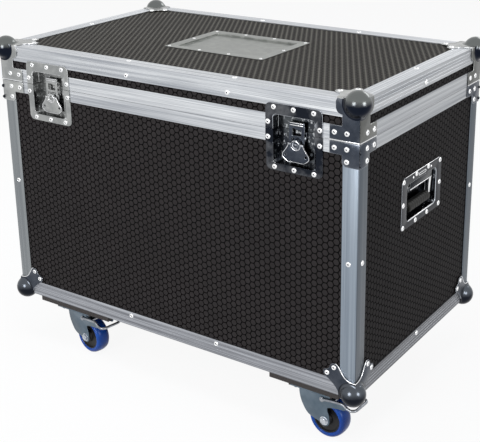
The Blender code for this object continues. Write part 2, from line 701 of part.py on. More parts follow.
def tongue_mesh():
    """Tongue where it locks: a window for the eccentric, a slot, and a lip behind the keeper's top."""
    back = tongue_back()
    front = back + TONGUE_PLATE
    low = KEEPER_HIGH + RUN_GAP
    top = low + TONGUE_LIP
    window_half = ECCENTRIC_THROW + ECCENTRIC_RADIUS + SEAT * 2
    middle = -CAM_DROP - ECCENTRIC_THROW
    reach = ECCENTRIC_RADIUS + WINDOW_CLEARANCE
    foot = middle - reach - WINDOW_FOOT
    body = plate(rounded((-TONGUE_HALF, TONGUE_HALF), (foot, top), WINDOW_FOOT, (True, True, False, False)),
                 back, front)
    lip = block((-KEEPER_HALF, KEEPER_HALF), (low, top), (back - TONGUE_LIP, back + TONGUE_PLATE / 2))
    bead = rod(TONGUE_BEAD, (-KEEPER_HALF, top - TONGUE_BEAD, front), (KEEPER_HALF, top - TONGUE_BEAD, front), 8)
    window = block((-window_half, window_half), (middle - reach, middle + reach), (back * 2, 0))
    slot_low = middle + reach + WINDOW_FOOT
    slot = plate(rounded((-TONGUE_HALF * 0.6, TONGUE_HALF * 0.6), (slot_low, -WINDOW_FOOT), WINDOW_CLEARANCE,
                         steps=2), back * 2, 0)
    return combine([body, lip, bead], [window, slot])


def latches(steel, lid):
    """Two recessed butterfly latches across the seam at the front, both released."""
    meshes = [lower_dish_mesh(), upper_dish_mesh(), cam_mesh(), wing_mesh(), tongue_mesh()]
    released = Matrix.Translation((0, TONGUE_TRAVEL, TONGUE_LIFT))
    for name, side in (("left", -1), ("right", 1)):
        place = front_frame(side * LATCH_X, SEAM_Z)
        add("latch_dish_lower_" + name, meshes[0], steel, place)
        add("latch_dish_upper_" + name, meshes[1], steel, place, parent=lid)
        axis = place @ Matrix.Translation((0, -CAM_DROP, 0))
        cam = add("latch_cam_" + name, meshes[2], steel, axis)
        add("latch_wing_" + name, meshes[3], steel, axis @ Matrix.Translation((0, 0, -WING_AXIS)), cam)
        add("latch_tongue_" + name, meshes[4], steel, place @ released)


def handle_dish_mesh():
    """Handle dish: flange, deep cup and the clip that the bail turns in."""
    wide, tall = HANDLE_WIDTH / 2, HANDLE_HEIGHT / 2
    half = CUP_WIDTH / 2
    face = -SKIN + SEAT
    flange = plate(rounded((-wide, wide), (-tall, tall), HANDLE_CORNER), face, face + SHEET)
    cup = plate(rounded((-half - SHEET, half + SHEET), (-CUP_LOW - SHEET, CUP_HIGH + SHEET), CUP_CORNER),
                -CUP_DEPTH - SHEET, face + SHEET / 2)
    hollow = plate(rounded((-half, half), (-CUP_LOW, CUP_HIGH), CUP_CORNER - SHEET), -CUP_DEPTH, SHEET * 4)
    dish = combine([flange, cup], [hollow])
    bore = BAIL_ROD + RUN_GAP
    jaw = bore + CLIP_WALL
    rise, sink = BAIL_HINGE_RISE, BAIL_HINGE_SINK
    clip = block((-CLIP_HALF, CLIP_HALF), (rise - jaw, CUP_HIGH + SHEET / 2), (-CUP_DEPTH - SHEET / 2, -sink + jaw))
    hole = rod(bore, (-CLIP_HALF * 2, rise, -sink), (CLIP_HALF * 2, rise, -sink), 16)
    return combine([dish, combine([clip], [hole])])


def bail_mesh():
    """Bail in the frame of its hinge rod, with the grip moulded on its lower bar."""
    drop = BAIL_HINGE_RISE + GRIP_DROP
    sink = -CUP_DEPTH + GRIP_RADIUS + SHEET + BAIL_HINGE_SINK
    ends = [rod(BAIL_ROD, (side * BAIL_HALF, BAIL_ROD, 0), (side * BAIL_HALF, -drop - BAIL_ROD, sink), 12)
            for side in (-1, 1)]
    top = rod(BAIL_ROD, (-BAIL_HALF, 0, 0), (BAIL_HALF, 0, 0), 12)
    low = rod(BAIL_ROD, (-BAIL_HALF, -drop, sink), (BAIL_HALF, -drop, sink), 12)
    grip = rod(GRIP_RADIUS, (-GRIP_HALF, -drop, sink), (GRIP_HALF, -drop, sink), 20)
    return combine([top, *ends, low, grip])


def handles(steel):
    """A recessed handle in each end panel."""
    dish, bail = handle_dish_mesh(), bail_mesh()
    for name, side in (("left", -1), ("right", 1)):
        place = end_frame(side, BASE_Z + HANDLE_CENTRE)
        add("handle_dish_" + name, dish, steel, place)
        add("handle_bail_" + name, bail, steel,
            place @ Matrix.Translation((0, BAIL_HINGE_RISE, -BAIL_HINGE_SINK)), smooth=True)


def leaf_mesh(up, knuckles):
    """One hinge leaf: a plate on its rail and the tabs that roll round the pin."""
    edges = sorted((up * LEAF_GAP, up * (LEAF_GAP + LEAF_LENGTH)))
    parts = [block((-HINGE_HALF, HINGE_HALF), edges, (SEAT, SEAT + HARDWARE))]
    for start, end in knuckles:
        tab = sorted((up * SEAT, up * (LEAF_GAP + HARDWARE)))
        parts.append(rod(KNUCKLE_RADIUS, (start, 0, HINGE_OUT), (end, 0, HINGE_OUT), 16))
        parts.append(block((start, end), tab, (SEAT + HARDWARE * 0.4, SEAT + HARDWARE * 1.4)))
    return parts


def hinges(steel, lid):
    """Two butt hinges outside the back, on the rails at the seam."""
    gap = KNUCKLE_HALF + SEAT
    pin = rod(HINGE_PIN, (-HINGE_HALF, 0, HINGE_OUT), (HINGE_HALF, 0, HINGE_OUT))
    base_leaf = combine([*leaf_mesh(-1, [(-HINGE_HALF, -gap), (gap, HINGE_HALF)]), pin])
    bore = rod(HINGE_BORE, (-HINGE_HALF, 0, HINGE_OUT), (HINGE_HALF, 0, HINGE_OUT))
    lid_leaf = combine(leaf_mesh(1, [(-KNUCKLE_HALF, KNUCKLE_HALF)]), [bore])
    for name, side in (("left", -1), ("right", 1)):
        place = back_frame(side * HINGE_X, SEAM_Z)
        add("hinge_leaf_base_" + name, base_leaf, steel, place)
        add("hinge_leaf_lid_" + name, lid_leaf, steel, place, parent=lid)


def fork_mesh(braked):
    """Fork in the frame of its swivel axis on the floor, wheel trailing along X."""
    inner = WHEEL_WIDTH / 2 + FORK_GAP
    outer = inner + FORK_PLATE
    top = CASTER_HEIGHT - CASTER_PLATE - SEAT - RACE_HEIGHT
    axle = (CASTER_TRAIL, WHEEL_RADIUS)
    half, eye = FORK_HALF, FORK_EYE
    nose, chin = half + FORK_NOSE, top - FORK_NOSE_DROP
    side = [(half, top), (-half, top), (-half + eye * 0.1, top * 0.84), (-half + eye * 0.55, top * 0.66),
            (-half + eye * 1.8, top * 0.45), *arc(axle, eye, 215, 360, 7), (axle[0] + eye * 0.9, axle[1] + eye),
            (axle[0] + eye * 0.55, axle[1] + eye * 2), (axle[0] + eye * 0.8, chin - eye * 0.55),
            (nose - eye * 1.3, chin - eye * 0.12), (nose - eye * 0.25, chin), (nose, chin + eye * 0.4),
            (nose - eye * 0.5, top - FORK_NOSE_DROP * 0.35)]
    upright = Matrix(((1, 0, 0, 0), (0, 0, 1, 0), (0, 1, 0, 0), (0, 0, 0, 1)))
    cheeks = []
    for low, high in ((-outer, -inner), (inner, outer)):
        cheek = moved(plate(side, low, high), upright)
        cheek.flip_normals()
        cheeks.append(cheek)
    crown = block((-half, half), (-outer, outer), (top - FORK_PLATE, top))
    race = disc(RACE_RADIUS, top - FORK_PLATE / 2, top + RACE_HEIGHT)
    kingpin = disc(KINGPIN_RADIUS, top, top + RACE_HEIGHT + KINGPIN_RISE, facets=12)
    bolt = rod(AXLE_RADIUS, (axle[0], -outer, axle[1]), (axle[0], outer, axle[1]), 12)
    heads = [rod(BOLT_HEAD_RADIUS, (axle[0], end * (outer - FORK_PLATE / 2), axle[1]),
                 (axle[0], end * (outer + BOLT_HEAD), axle[1]), 6) for end in (-1, 1)]
    holes = []
    if braked:
        holes.append(rod(PEDAL_PIN + RUN_GAP, (PEDAL_PIVOT_X, -outer * 2, PEDAL_PIVOT_Z),
                         (PEDAL_PIVOT_X, outer * 2, PEDAL_PIVOT_Z), 10))
    return combine([*cheeks, crown, race, kingpin, bolt, *heads], holes)


def wheel_mesh():
    """Wheel turned round Z: black core with a bonded elastic tyre, bored for its axle."""
    bore, half = AXLE_RADIUS + RUN_GAP, WHEEL_WIDTH / 2
    rim, web = WHEEL_RADIUS - TYRE, half * 0.55
    profile = [(bore, -half), (HUB_RADIUS, -half), (HUB_RADIUS + WHEEL_FILLET, -web),
               (rim - WHEEL_FILLET, -web), (rim, -half * 0.86), (rim + WHEEL_FILLET, -half),
               (WHEEL_RADIUS - TYRE * 0.3, -half * 0.88), (WHEEL_RADIUS, -half * 0.3)]
    other = [(radius, -height) for radius, height in reversed(profile)]
    return turned([*profile, *other])


def pedal_mesh():
    """Brake pedal in the frame of its pivot: a bail outside the fork, its pin and the shoe over the tyre."""
    inner = WHEEL_WIDTH / 2 + FORK_GAP + FORK_PLATE + SEAT
    outer = inner + PEDAL_ARM
    reach = PEDAL_REACH - PEDAL_PIVOT_X
    rise, drop, half = PEDAL_RISE, -PEDAL_DROP, PEDAL_BAR
    side = [*arc((0, 0), PEDAL_EYE, 90, 270, 4), (reach * 0.50, rise - half), (reach * 0.66, rise - half),
            (reach * 0.78, drop - half), (reach, drop - half), (reach, drop + half), (reach * 0.82, drop + half),
            (reach * 0.70, rise + half), (reach * 0.50, rise + half)]
    upright = Matrix(((1, 0, 0, 0), (0, 0, 1, 0), (0, 1, 0, 0), (0, 0, 0, 1)))
    arms = []
    for low, high in ((-outer, -inner), (inner, outer)):
        arm = moved(plate(side, low, high), upright)
        arm.flip_normals()
        arms.append(arm)
    bar = rod(half, (reach, -outer, drop), (reach, outer, drop), 12)
    pin = rod(PEDAL_PIN, (0, -outer, 0), (0, outer, 0), 8)
    shoe = block((-SHOE_HEEL, SHOE_LENGTH), (-SHOE_HALF, SHOE_HALF), (-SHOE_LOW, SHOE_HIGH))
    return combine([*arms, bar, pin, shoe])


def casters(steel, wood, rubber):
    """Two boards under the case, each with a front and a rear caster."""
    forks = {"front": fork_mesh(True), "rear": fork_mesh(False)}
    wheel, pedal = wheel_mesh(), pedal_mesh()
    turns = {"front_left": FRONT_LEFT_TURN, "front_right": FRONT_RIGHT_TURN,
             "rear_left": REAR_LEFT_TURN, "rear_right": REAR_RIGHT_TURN}
    wide, deep = CASE_WIDTH / 2, CASE_DEPTH / 2
    for name, side, inset, width, reach in (
            ("left", -1, LEFT_BOARD_INSET, LEFT_BOARD_WIDTH, LEFT_SWIVEL_INSET),
            ("right", 1, RIGHT_BOARD_INSET, RIGHT_BOARD_WIDTH, RIGHT_SWIVEL_INSET)):
        swivel_x = side * (wide - reach)
        limits = sorted((side * (wide - inset), side * (wide - inset - width)))
        solids = [block(limits, (-deep, deep), (CASTER_HEIGHT, CASTER_HEIGHT + BOARD))]
        holes = []
        for end, swivel_y in (("front", -SWIVEL_Y), ("rear", SWIVEL_Y)):
            solids.append(block((swivel_x - PLATE_LENGTH / 2, swivel_x + PLATE_LENGTH / 2),
                                (swivel_y - PLATE_WIDTH / 2, swivel_y + PLATE_WIDTH / 2),
                                (CASTER_HEIGHT - CASTER_PLATE, CASTER_HEIGHT + SEAT)))
            holes.append(disc(KINGPIN_RADIUS + RUN_GAP, 0, CASTER_HEIGHT + KINGPIN_RISE,
                              (swivel_x, swivel_y), 12))
            where = end + "_" + name
            place = Matrix.Translation((swivel_x, swivel_y, 0)) @ Matrix.Rotation(math.radians(turns[where]), 4, "Z")
            swivel = add("caster_fork_" + where, forks[end], steel, place)
            axle = place @ Matrix.Translation((CASTER_TRAIL, 0, WHEEL_RADIUS)) @ Matrix.Rotation(math.pi / 2, 4, "X")
            add("caster_wheel_" + where, wheel, rubber, axle, swivel, smooth=True)
            if end == "front":
                pivot = place @ Matrix.Translation((PEDAL_PIVOT_X, 0, PEDAL_PIVOT_Z))
                add("brake_pedal_" + name, pedal, steel, pivot, swivel)
        add("caster_board_" + name, combine(solids, holes), wood)


def padding(foam, felt, lid):
    """Foam liner with its four compartments' divider lattice, and the pad in the lid."""
    wide, deep = CASE_WIDTH / 2 - INNER - SEAT * 2, CASE_DEPTH / 2 - INNER - SEAT * 2
    low = BASE_Z + SKIN + PLY + SEAT
    high = SEAM_Z - FOAM_BELOW_SEAM
    inside_x, inside_y = wide - FOAM_WALL, deep - FOAM_WALL
    floor = low + FOAM_FLOOR
    cuts = [block((-inside_x, inside_x), (-inside_y, inside_y), (floor, high + FOAM_FLOOR))]
    half = POCKET_WIDTH / 2 + SHEET + NOTCH_GAP
    for side in (-1, 1):
        x, back = side * LATCH_X, POCKET_DEPTH + SHEET + NOTCH_GAP
        cuts.append(block((x - half, x + half), (-CASE_DEPTH, -CASE_DEPTH / 2 + back),
                          (SEAM_Z - POCKET_DROP - SHEET - NOTCH_GAP, high + FOAM_FLOOR)))
        cup = CUP_WIDTH / 2 + SHEET + NOTCH_GAP
        depth = CUP_DEPTH + SHEET + NOTCH_GAP
        limits = sorted((side * CASE_WIDTH, side * (CASE_WIDTH / 2 - depth)))
        middle = BASE_Z + HANDLE_CENTRE
        cuts.append(block(limits, (-cup, cup), (middle - CUP_LOW - SHEET - NOTCH_GAP,
                                                middle + CUP_HIGH + SHEET + NOTCH_GAP)))
    add("foam_liner", combine([block((-wide, wide), (-deep, deep), (low, high))], cuts), foam)
    along = block((-inside_x + SEAT, inside_x - SEAT), (-DIVIDER / 2, DIVIDER / 2),
                  (floor + SEAT, floor + DIVIDER_HEIGHT))
    across = block((-DIVIDER / 2, DIVIDER / 2), (-inside_y + SEAT, inside_y - SEAT),
                   (floor + SEAT, floor + DIVIDER_HEIGHT))
    add("divider_lattice", combine([along, across]), felt)
    under = TOP_Z - SKIN - PLY - SEAT
    add("lid_foam", block((-inside_x, inside_x), (-inside_y, inside_y), (under - LID_FOAM, under)), foam, parent=lid)


def build():
    clear_scene()
    laminate = material("laminate", (0.028, 0.024, 0.022), 0.55, 0.0)
    alloy = material("aluminium", (0.62, 0.64, 0.67), 0.38, 1.0)
    steel = material("zinc_steel", (0.56, 0.57, 0.60), 0.28, 1.0)
    wood = material("caster_board", (0.090, 0.070, 0.062), 0.70, 0.0)
    tyre = material("blue_tyre", (0.020, 0.085, 0.360), 0.45, 0.0)
    foam = material("foam", (0.030, 0.030, 0.032), 0.95, 0.0)
    felt = material("divider", (0.045, 0.045, 0.048), 0.95, 0.0)
    lid = empty("lid_hinge", Matrix.Translation((0, CASE_DEPTH / 2 + HINGE_OUT, SEAM_Z)))
    panels(laminate)
    frames(alloy, lid)
    lid_shell(laminate, steel, lid)
    corners(alloy, steel, lid)
    latches(steel, lid)
    handles(steel)
    hinges(steel, lid)
    casters(steel, wood, tyre)
    padding(foam, felt, lid)


build()
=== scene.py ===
import json
import math

import bpy
from mathutils import Matrix, Quaternion, Vector


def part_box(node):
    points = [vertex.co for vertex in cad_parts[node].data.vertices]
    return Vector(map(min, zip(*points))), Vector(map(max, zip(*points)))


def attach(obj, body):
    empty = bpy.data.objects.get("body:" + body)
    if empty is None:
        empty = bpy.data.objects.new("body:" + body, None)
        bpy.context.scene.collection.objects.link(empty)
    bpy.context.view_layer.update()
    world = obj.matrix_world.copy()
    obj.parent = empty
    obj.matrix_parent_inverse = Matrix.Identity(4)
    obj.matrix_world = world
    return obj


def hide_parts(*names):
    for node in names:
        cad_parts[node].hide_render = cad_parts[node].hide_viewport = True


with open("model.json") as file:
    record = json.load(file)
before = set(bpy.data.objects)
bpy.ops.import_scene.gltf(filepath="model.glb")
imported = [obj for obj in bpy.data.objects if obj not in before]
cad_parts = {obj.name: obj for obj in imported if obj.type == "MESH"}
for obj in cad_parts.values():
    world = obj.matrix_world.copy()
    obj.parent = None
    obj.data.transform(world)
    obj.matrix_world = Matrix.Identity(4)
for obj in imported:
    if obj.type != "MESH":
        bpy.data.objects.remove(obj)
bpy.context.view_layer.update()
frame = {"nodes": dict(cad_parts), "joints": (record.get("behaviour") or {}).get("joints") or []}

# Planes of the case, taken from the frame
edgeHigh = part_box("lid_edge_frame")[1]
halfX, halfY, topZ = edgeHigh
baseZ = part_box("bottom_edge_frame")[0].z
gap = 0.0003
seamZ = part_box("base_rail_frame")[1].z + gap
cornerNames = ("front_left", "front_right", "back_right", "back_left")
print("frame loaded, case", round(halfX * 2, 4), "x", round(halfY * 2, 4), "x", round(topZ - baseZ, 4))


# Shader sums are written as plain expressions on this wrapped socket
class Wire:
    def __init__(self, tree, socket):
        self.tree = tree
        self.socket = socket

    def sum(self, operation, *values):
        made = self.tree.nodes.new("ShaderNodeMath")
        made.operation = operation
        for place, value in zip(made.inputs, values):
            join(self.tree, value, place)
        return Wire(self.tree, made.outputs[0])

    def __add__(self, other):
        return self.sum("ADD", self, other)

    def __sub__(self, other):
        return self.sum("SUBTRACT", self, other)

    def __rsub__(self, other):
        return self.sum("SUBTRACT", other, self)

    def __mul__(self, other):
        return self.sum("MULTIPLY", self, other)

    def __truediv__(self, other):
        return self.sum("DIVIDE", self, other)

    def __abs__(self):
        return self.sum("ABSOLUTE", self)

    __radd__ = __add__
    __rmul__ = __mul__

    def lower(self, other):
        return self.sum("MINIMUM", self, other)

    def upper(self, other):
        return self.sum("MAXIMUM", self, other)

    # A colour brought down towards black by a share
    def dimmed(self, share):
        made = self.tree.nodes.new("ShaderNodeMix")
        made.data_type = "RGBA"
        join(self.tree, share, made.inputs[0])
        join(self.tree, self, made.inputs[6])
        join(self.tree, (0.0, 0.0, 0.0), made.inputs[7])
        return Wire(self.tree, made.outputs[2])

    def fraction(self):
        return self.sum("FRACT", self)

    def root(self):
        return self.sum("SQRT", self)

    # Rises from 0 to 1 as the value passes an edge
    def above(self, edge, softness):
        return ((self - edge) / softness).upper(0).lower(1)


def join(tree, value, place):
    if isinstance(value, Wire):
        tree.links.new(value.socket, place)
    elif isinstance(value, tuple) and place.type == "RGBA" and len(value) == 3:
        place.default_value = (*value, 1)
    else:
        place.default_value = value


# A material under construction: one Principled shader and what feeds it
class Finish:
    def __init__(self, name, colour, rough, metal=0.0, coat=0.0):
        self.material = bpy.data.materials.new(name)
        self.material.use_nodes = True
        self.tree = self.material.node_tree
        self.shader = self.tree.nodes["Principled BSDF"]
        self.set("Base Color", colour)
        self.set("Roughness", rough)
        self.set("Metallic", metal)
        self.set("Coat Weight", coat)

    def set(self, name, value):
        join(self.tree, value, self.shader.inputs[name])
        return self

    def node(self, kind, settings=None, inputs=None, out=0):
        made = self.tree.nodes.new("ShaderNode" + kind)
        for name, value in (settings or {}).items():
            if name == "stops":
                ramp = made.color_ramp.elements
                for index, (place, colour) in enumerate(value):
                    stop = ramp[index] if index < 2 else ramp.new(place)
                    stop.position = place
                    stop.color = (*colour, 1)
            else:
                setattr(made, name, value)
        for name, value in (inputs or {}).items():
            join(self.tree, value, made.inputs[name])
        return Wire(self.tree, made.outputs[out])

    def where(self):
        return self.node("TexCoord", out="Object")

    def split(self, vector):
        parts = self.node("SeparateXYZ", inputs={0: vector})
        return [Wire(self.tree, parts.socket.node.outputs[index]) for index in range(3)]

    def vector(self, x, y, z):
        return self.node("CombineXYZ", inputs={0: x, 1: y, 2: z})

    def noise(self, vector, scale, detail=3.0, rough=0.55):
        return self.node("TexNoise", inputs={"Vector": vector, "Scale": scale, "Detail": detail, "Roughness": rough})

    def blend(self, factor, first, second):
        return self.node("Mix", {"data_type": "RGBA"}, {0: factor, 6: first, 7: second}, out=2)

    def bump(self, height, strength, distance=0.001):
        shaped = self.node("Bump", inputs={"Height": height, "Strength": strength, "Distance": distance})
        return self.set("Normal", shaped)


# On the lid the hexagons are rotated, by a cosine and a sine, and slightly finer; the glint colour is the painted
# highlight of the lid's streak lines
hexPattern = {"pitch": 0.0122, "groove": 0.0013, "round": 0.40, "lidTurn": (0.866, 0.5), "lidFiner": 1.052,
              "paintedGlint": (0.150, 0.145, 0.128)}


# Distance from the middle of the nearest hexagon, with two flat sides along up
def hexDistance(look, across, up):
    pitch = hexPattern["pitch"]
    column = pitch * math.sqrt(3) / 2
    nearest = None
    for shift in (0.0, 0.5):
        dx = abs((across / (column * 2) + shift).fraction() - 0.5) * (column * 2)
        dy = abs((up / pitch + shift).fraction() - 0.5) * pitch
        flat = dy.upper(dx * (math.sqrt(3) / 2) + dy * 0.5)
        ring = (dx * dx + dy * dy).root()
        reach = flat * (1 - hexPattern["round"]) + ring * hexPattern["round"]
        nearest = reach if nearest is None else nearest.lower(reach)
    return nearest


# Raised hexagons in dark grooves; on the lid they run the other way and carry painted highlight streak lines along
# their rows
def laminateFinish(name, face, groove, sheen, paintedStreaks=0.0):
    look = Finish(name, face, 0.5)
    look.set("Specular IOR Level", 0.02 if paintedStreaks else 0.04)
    place = look.where()
    x, y, z = look.split(place)
    nx = abs(look.split(look.node("TexCoord", out="Normal"))[0])
    sideways = nx.above(0.6, 0.1)
    if paintedStreaks:
        (cosine, sine), finer = hexPattern["lidTurn"], hexPattern["lidFiner"]
        across, up = (x * cosine + y * sine) * finer, (y * cosine - x * sine) * finer
    else:
        across, up = x * (1 - sideways) + y * sideways, z
    reach = hexDistance(look, across, up)
    edge = hexPattern["pitch"] / 2 - hexPattern["groove"]
    inGroove = reach.above(edge, hexPattern["groove"] * 0.55)
    cloud = look.noise(place, 4.0, 4.0)
    cells = look.noise(place, 70.0, 1.0)
    grain = look.noise(place, 420.0, 2.0)
    tint = look.blend((cells * 0.7 + cloud * 0.5).above(0.42, 0.35), face, sheen)
    # Painted highlight: each hexagon is lightened towards its rim; the cell mottle above is the laminate's own tone
    tint = look.blend((reach / edge).upper(0.3) * 0.35, tint, sheen)
    tint = look.blend(inGroove, tint, groove)
    # Painted highlight: pale streak lines along the lid's hexagon rows, standing for light caught on the ridges
    if paintedStreaks:
        ridge = abs((across / (hexPattern["pitch"] * math.sqrt(3) / 2) + 0.5).fraction() - 0.5)
        paintedGlint = (0.17 - ridge).above(0, 0.08) * (look.noise(place, 7.0, 2.0) * 0.7 + 0.35) * paintedStreaks
        tint = look.blend(paintedGlint, tint, hexPattern["paintedGlint"])
    look.set("Base Color", tint)
    look.set("Roughness", inGroove * 0.25 + grain * 0.12 + cloud * 0.16 + 0.38)
    look.bump(grain * 0.18 - inGroove, 0.5, 0.0006)
    return look.material


# Mill-finish extrusion: fine ribs along its length, lighter where it is rubbed; faces towards +X get painted shade, and
# so do the rib grooves
def alloyFinish(name, colour, shade, upright=False, ribs=0.0, ends=0.8):
    look = Finish(name, colour, 0.3, 1.0)
    place = look.where()
    x, y, z = look.split(place)
    facing = look.split(look.node("TexCoord", out="Normal"))
    flat = abs(facing[2]).above(0.6, 0.1)
    # Painted shade: faces that look towards +X are darkened, keeping the share ends of their colour
    rightSideShade = facing[0].above(0.6, 0.15) * (1 - ends)
    inset = (halfX - abs(x)).lower(halfY - abs(y))
    if upright:
        across, along = x + y, z
    else:
        across, along = z * (1 - flat) + inset * flat, x + y
    lines = look.noise(look.vector(across * 700, along * 4, 0), 1.0, 3.0, 0.7)
    wide = look.noise(look.vector(across * 150, along * 1.5, 0), 1.0, 2.0)
    smudge = look.noise(place, 9.0, 4.0)
    tone = (lines * 0.5 + wide * 0.5).above(0.36, 0.28)
    # Painted shade in the rib grooves
    if ribs:
        groove = (abs((across / 0.0075 + 0.25).fraction() - 0.5) * -1 + 0.5).above(0.34, 0.1)
        tone = tone * (1 - groove * ribs)
    look.set("Base Color", look.blend(tone * (smudge * 0.3 + 0.85), shade, colour).dimmed(rightSideShade))
    look.set("Roughness", smudge * 0.14 + lines * 0.18 + 0.20)
    look.bump(lines * 0.7 + wide * 0.5, 0.22, 0.0004)
    return look.material


# Pressed sheet: dull or pale flats, with a painted highlight on its bevelled edges and, where asked, painted reflection
# specks
def pressedFinish(name, flat, cloudy, edge, rough, reflectionSpecks=0.0):
    look = Finish(name, flat, rough, 1.0)
    place = look.where()
    normal = [abs(part) for part in look.split(look.node("TexCoord", out="Normal"))]
    # Painted highlight: faces that lean away from all three axes, the bevels, take the edge colour
    bevelHighlight = 1 - normal[0].upper(normal[1]).upper(normal[2]).above(0.90, 0.08)
    cloud = look.noise(place, 26.0, 4.0, 0.6)
    haze = look.noise(place, 130.0, 3.0)
    tint = look.blend(cloud.above(0.42, 0.25), flat, cloudy)
    # Painted reflection: bright specks in the edge colour where a stretched noise peaks
    if reflectionSpecks:
        reflectionPattern = look.noise(look.node("Mapping", inputs={"Vector": place, "Scale": (190, 190, 120)}), 1.0, 3.0, 0.7)
        tint = look.blend(reflectionPattern.above(0.56, 0.08) * reflectionSpecks, tint, edge)
    look.set("Base Color", look.blend(bevelHighlight, tint, edge))
    look.set("Roughness", cloud * 0.12 + haze * 0.10 + rough - 0.08)
    look.bump(cloud * 0.8 + haze * 0.2, 0.12, 0.0006)
    return look.material


# A polished ball with painted light: a lit grey cap and a shaded dark belly
def ballFinish(name, litCap, shadedBelly):
    look = Finish(name, litCap, 0.22, 1.0)
    place = look.where()
    up = look.split(look.node("TexCoord", out="Normal"))[2]
    cloud = look.noise(place, 60.0, 3.0)
    # Painted light: faces that look up take the lit cap, faces that look down the shaded belly
    look.set("Base Color", look.blend((up + cloud * 0.3).above(0.18, 0.40), shadedBelly, litCap))
    look.set("Roughness", cloud * 0.10 + 0.17)
    look.bump(cloud, 0.06, 0.0006)
    return look.material


def platedFinish(name, bright, dull, rough, mottle=14.0):
    look = Finish(name, bright, rough, 1.0)
    place = look.where()
    cloud = look.noise(place, mottle, 4.0)
    haze = look.noise(place, 110.0, 3.0)
    scratch = look.noise(look.node("Mapping", inputs={"Vector": place, "Scale": (900, 40, 60)}), 1.0, 2.0)
    look.set("Base Color", look.blend(cloud.above(0.38, 0.3), dull, bright))
    look.set("Roughness", cloud * 0.16 + haze * 0.10 + rough - 0.09)
    look.bump(cloud * 0.8 + scratch * 0.25 + haze * 0.2, 0.10, 0.0006)
    return look.material


def galvanisedFinish(name, low, high):
    look = Finish(name, high, 0.4, 1.0)
    place = look.where()
    cell = look.node("TexVoronoi", inputs={"Vector": place, "Scale": 90.0}, out="Color")
    spangle = look.split(cell)[0]
    cloud = look.noise(place, 11.0, 4.0)
    look.set("Base Color", look.blend(spangle * 0.6 + cloud * 0.4, low, high))
    look.set("Roughness", spangle * 0.12 + cloud * 0.2 + 0.25)
    look.bump(cloud + spangle * 0.3, 0.08, 0.0005)
    return look.material


def rubberFinish(name, dark, light, rough):
    look = Finish(name, dark, rough)
    look.set("Specular IOR Level", 0.28)
    place = look.where()
    cloud = look.noise(place, 24.0, 4.0)
    grain = look.noise(place, 900.0, 2.0)
    look.set("Base Color", look.blend(cloud.above(0.4, 0.35), dark, light))
    look.set("Roughness", cloud * 0.15 + grain * 0.1 + rough - 0.1)
    look.bump(grain, 0.25, 0.0003)
    return look.material


def plywoodFinish(name):
    look = Finish(name, (0.04, 0.03, 0.025), 0.65)
    look.set("Specular IOR Level", 0.25)
    place = look.where()
    x, y, z = look.split(place)
    grain = look.noise(look.vector(x * 14, y * 260, z * 260), 1.0, 4.0, 0.65)
    plies = look.node("TexWave", {"bands_direction": "Z"}, {"Vector": place, "Scale": 110.0, "Distortion": 1.2})
    shift = look.split(plies)[0]
    colour = look.blend(grain, (0.022, 0.020, 0.020), (0.070, 0.062, 0.060))
    look.set("Base Color", look.blend(shift * 0.35, colour, (0.10, 0.09, 0.087)))
    look.set("Roughness", grain * 0.3 + 0.5)
    look.bump(grain + shift * 0.5, 0.3, 0.0004)
    return look.material


def foamFinish(name, dark, light, cell):
    look = Finish(name, dark, 0.95)
    place = look.where()
    pores = look.node("TexVoronoi", inputs={"Vector": place, "Scale": cell}, out="Distance")
    cloud = look.noise(place, 18.0, 3.0)
    look.set("Base Color", look.blend(pores * 0.6 + cloud * 0.5, dark, light))
    look.set("Roughness", cloud * 0.1 + 0.86)
    look.bump(pores, 0.5, 0.0008)
    return look.material


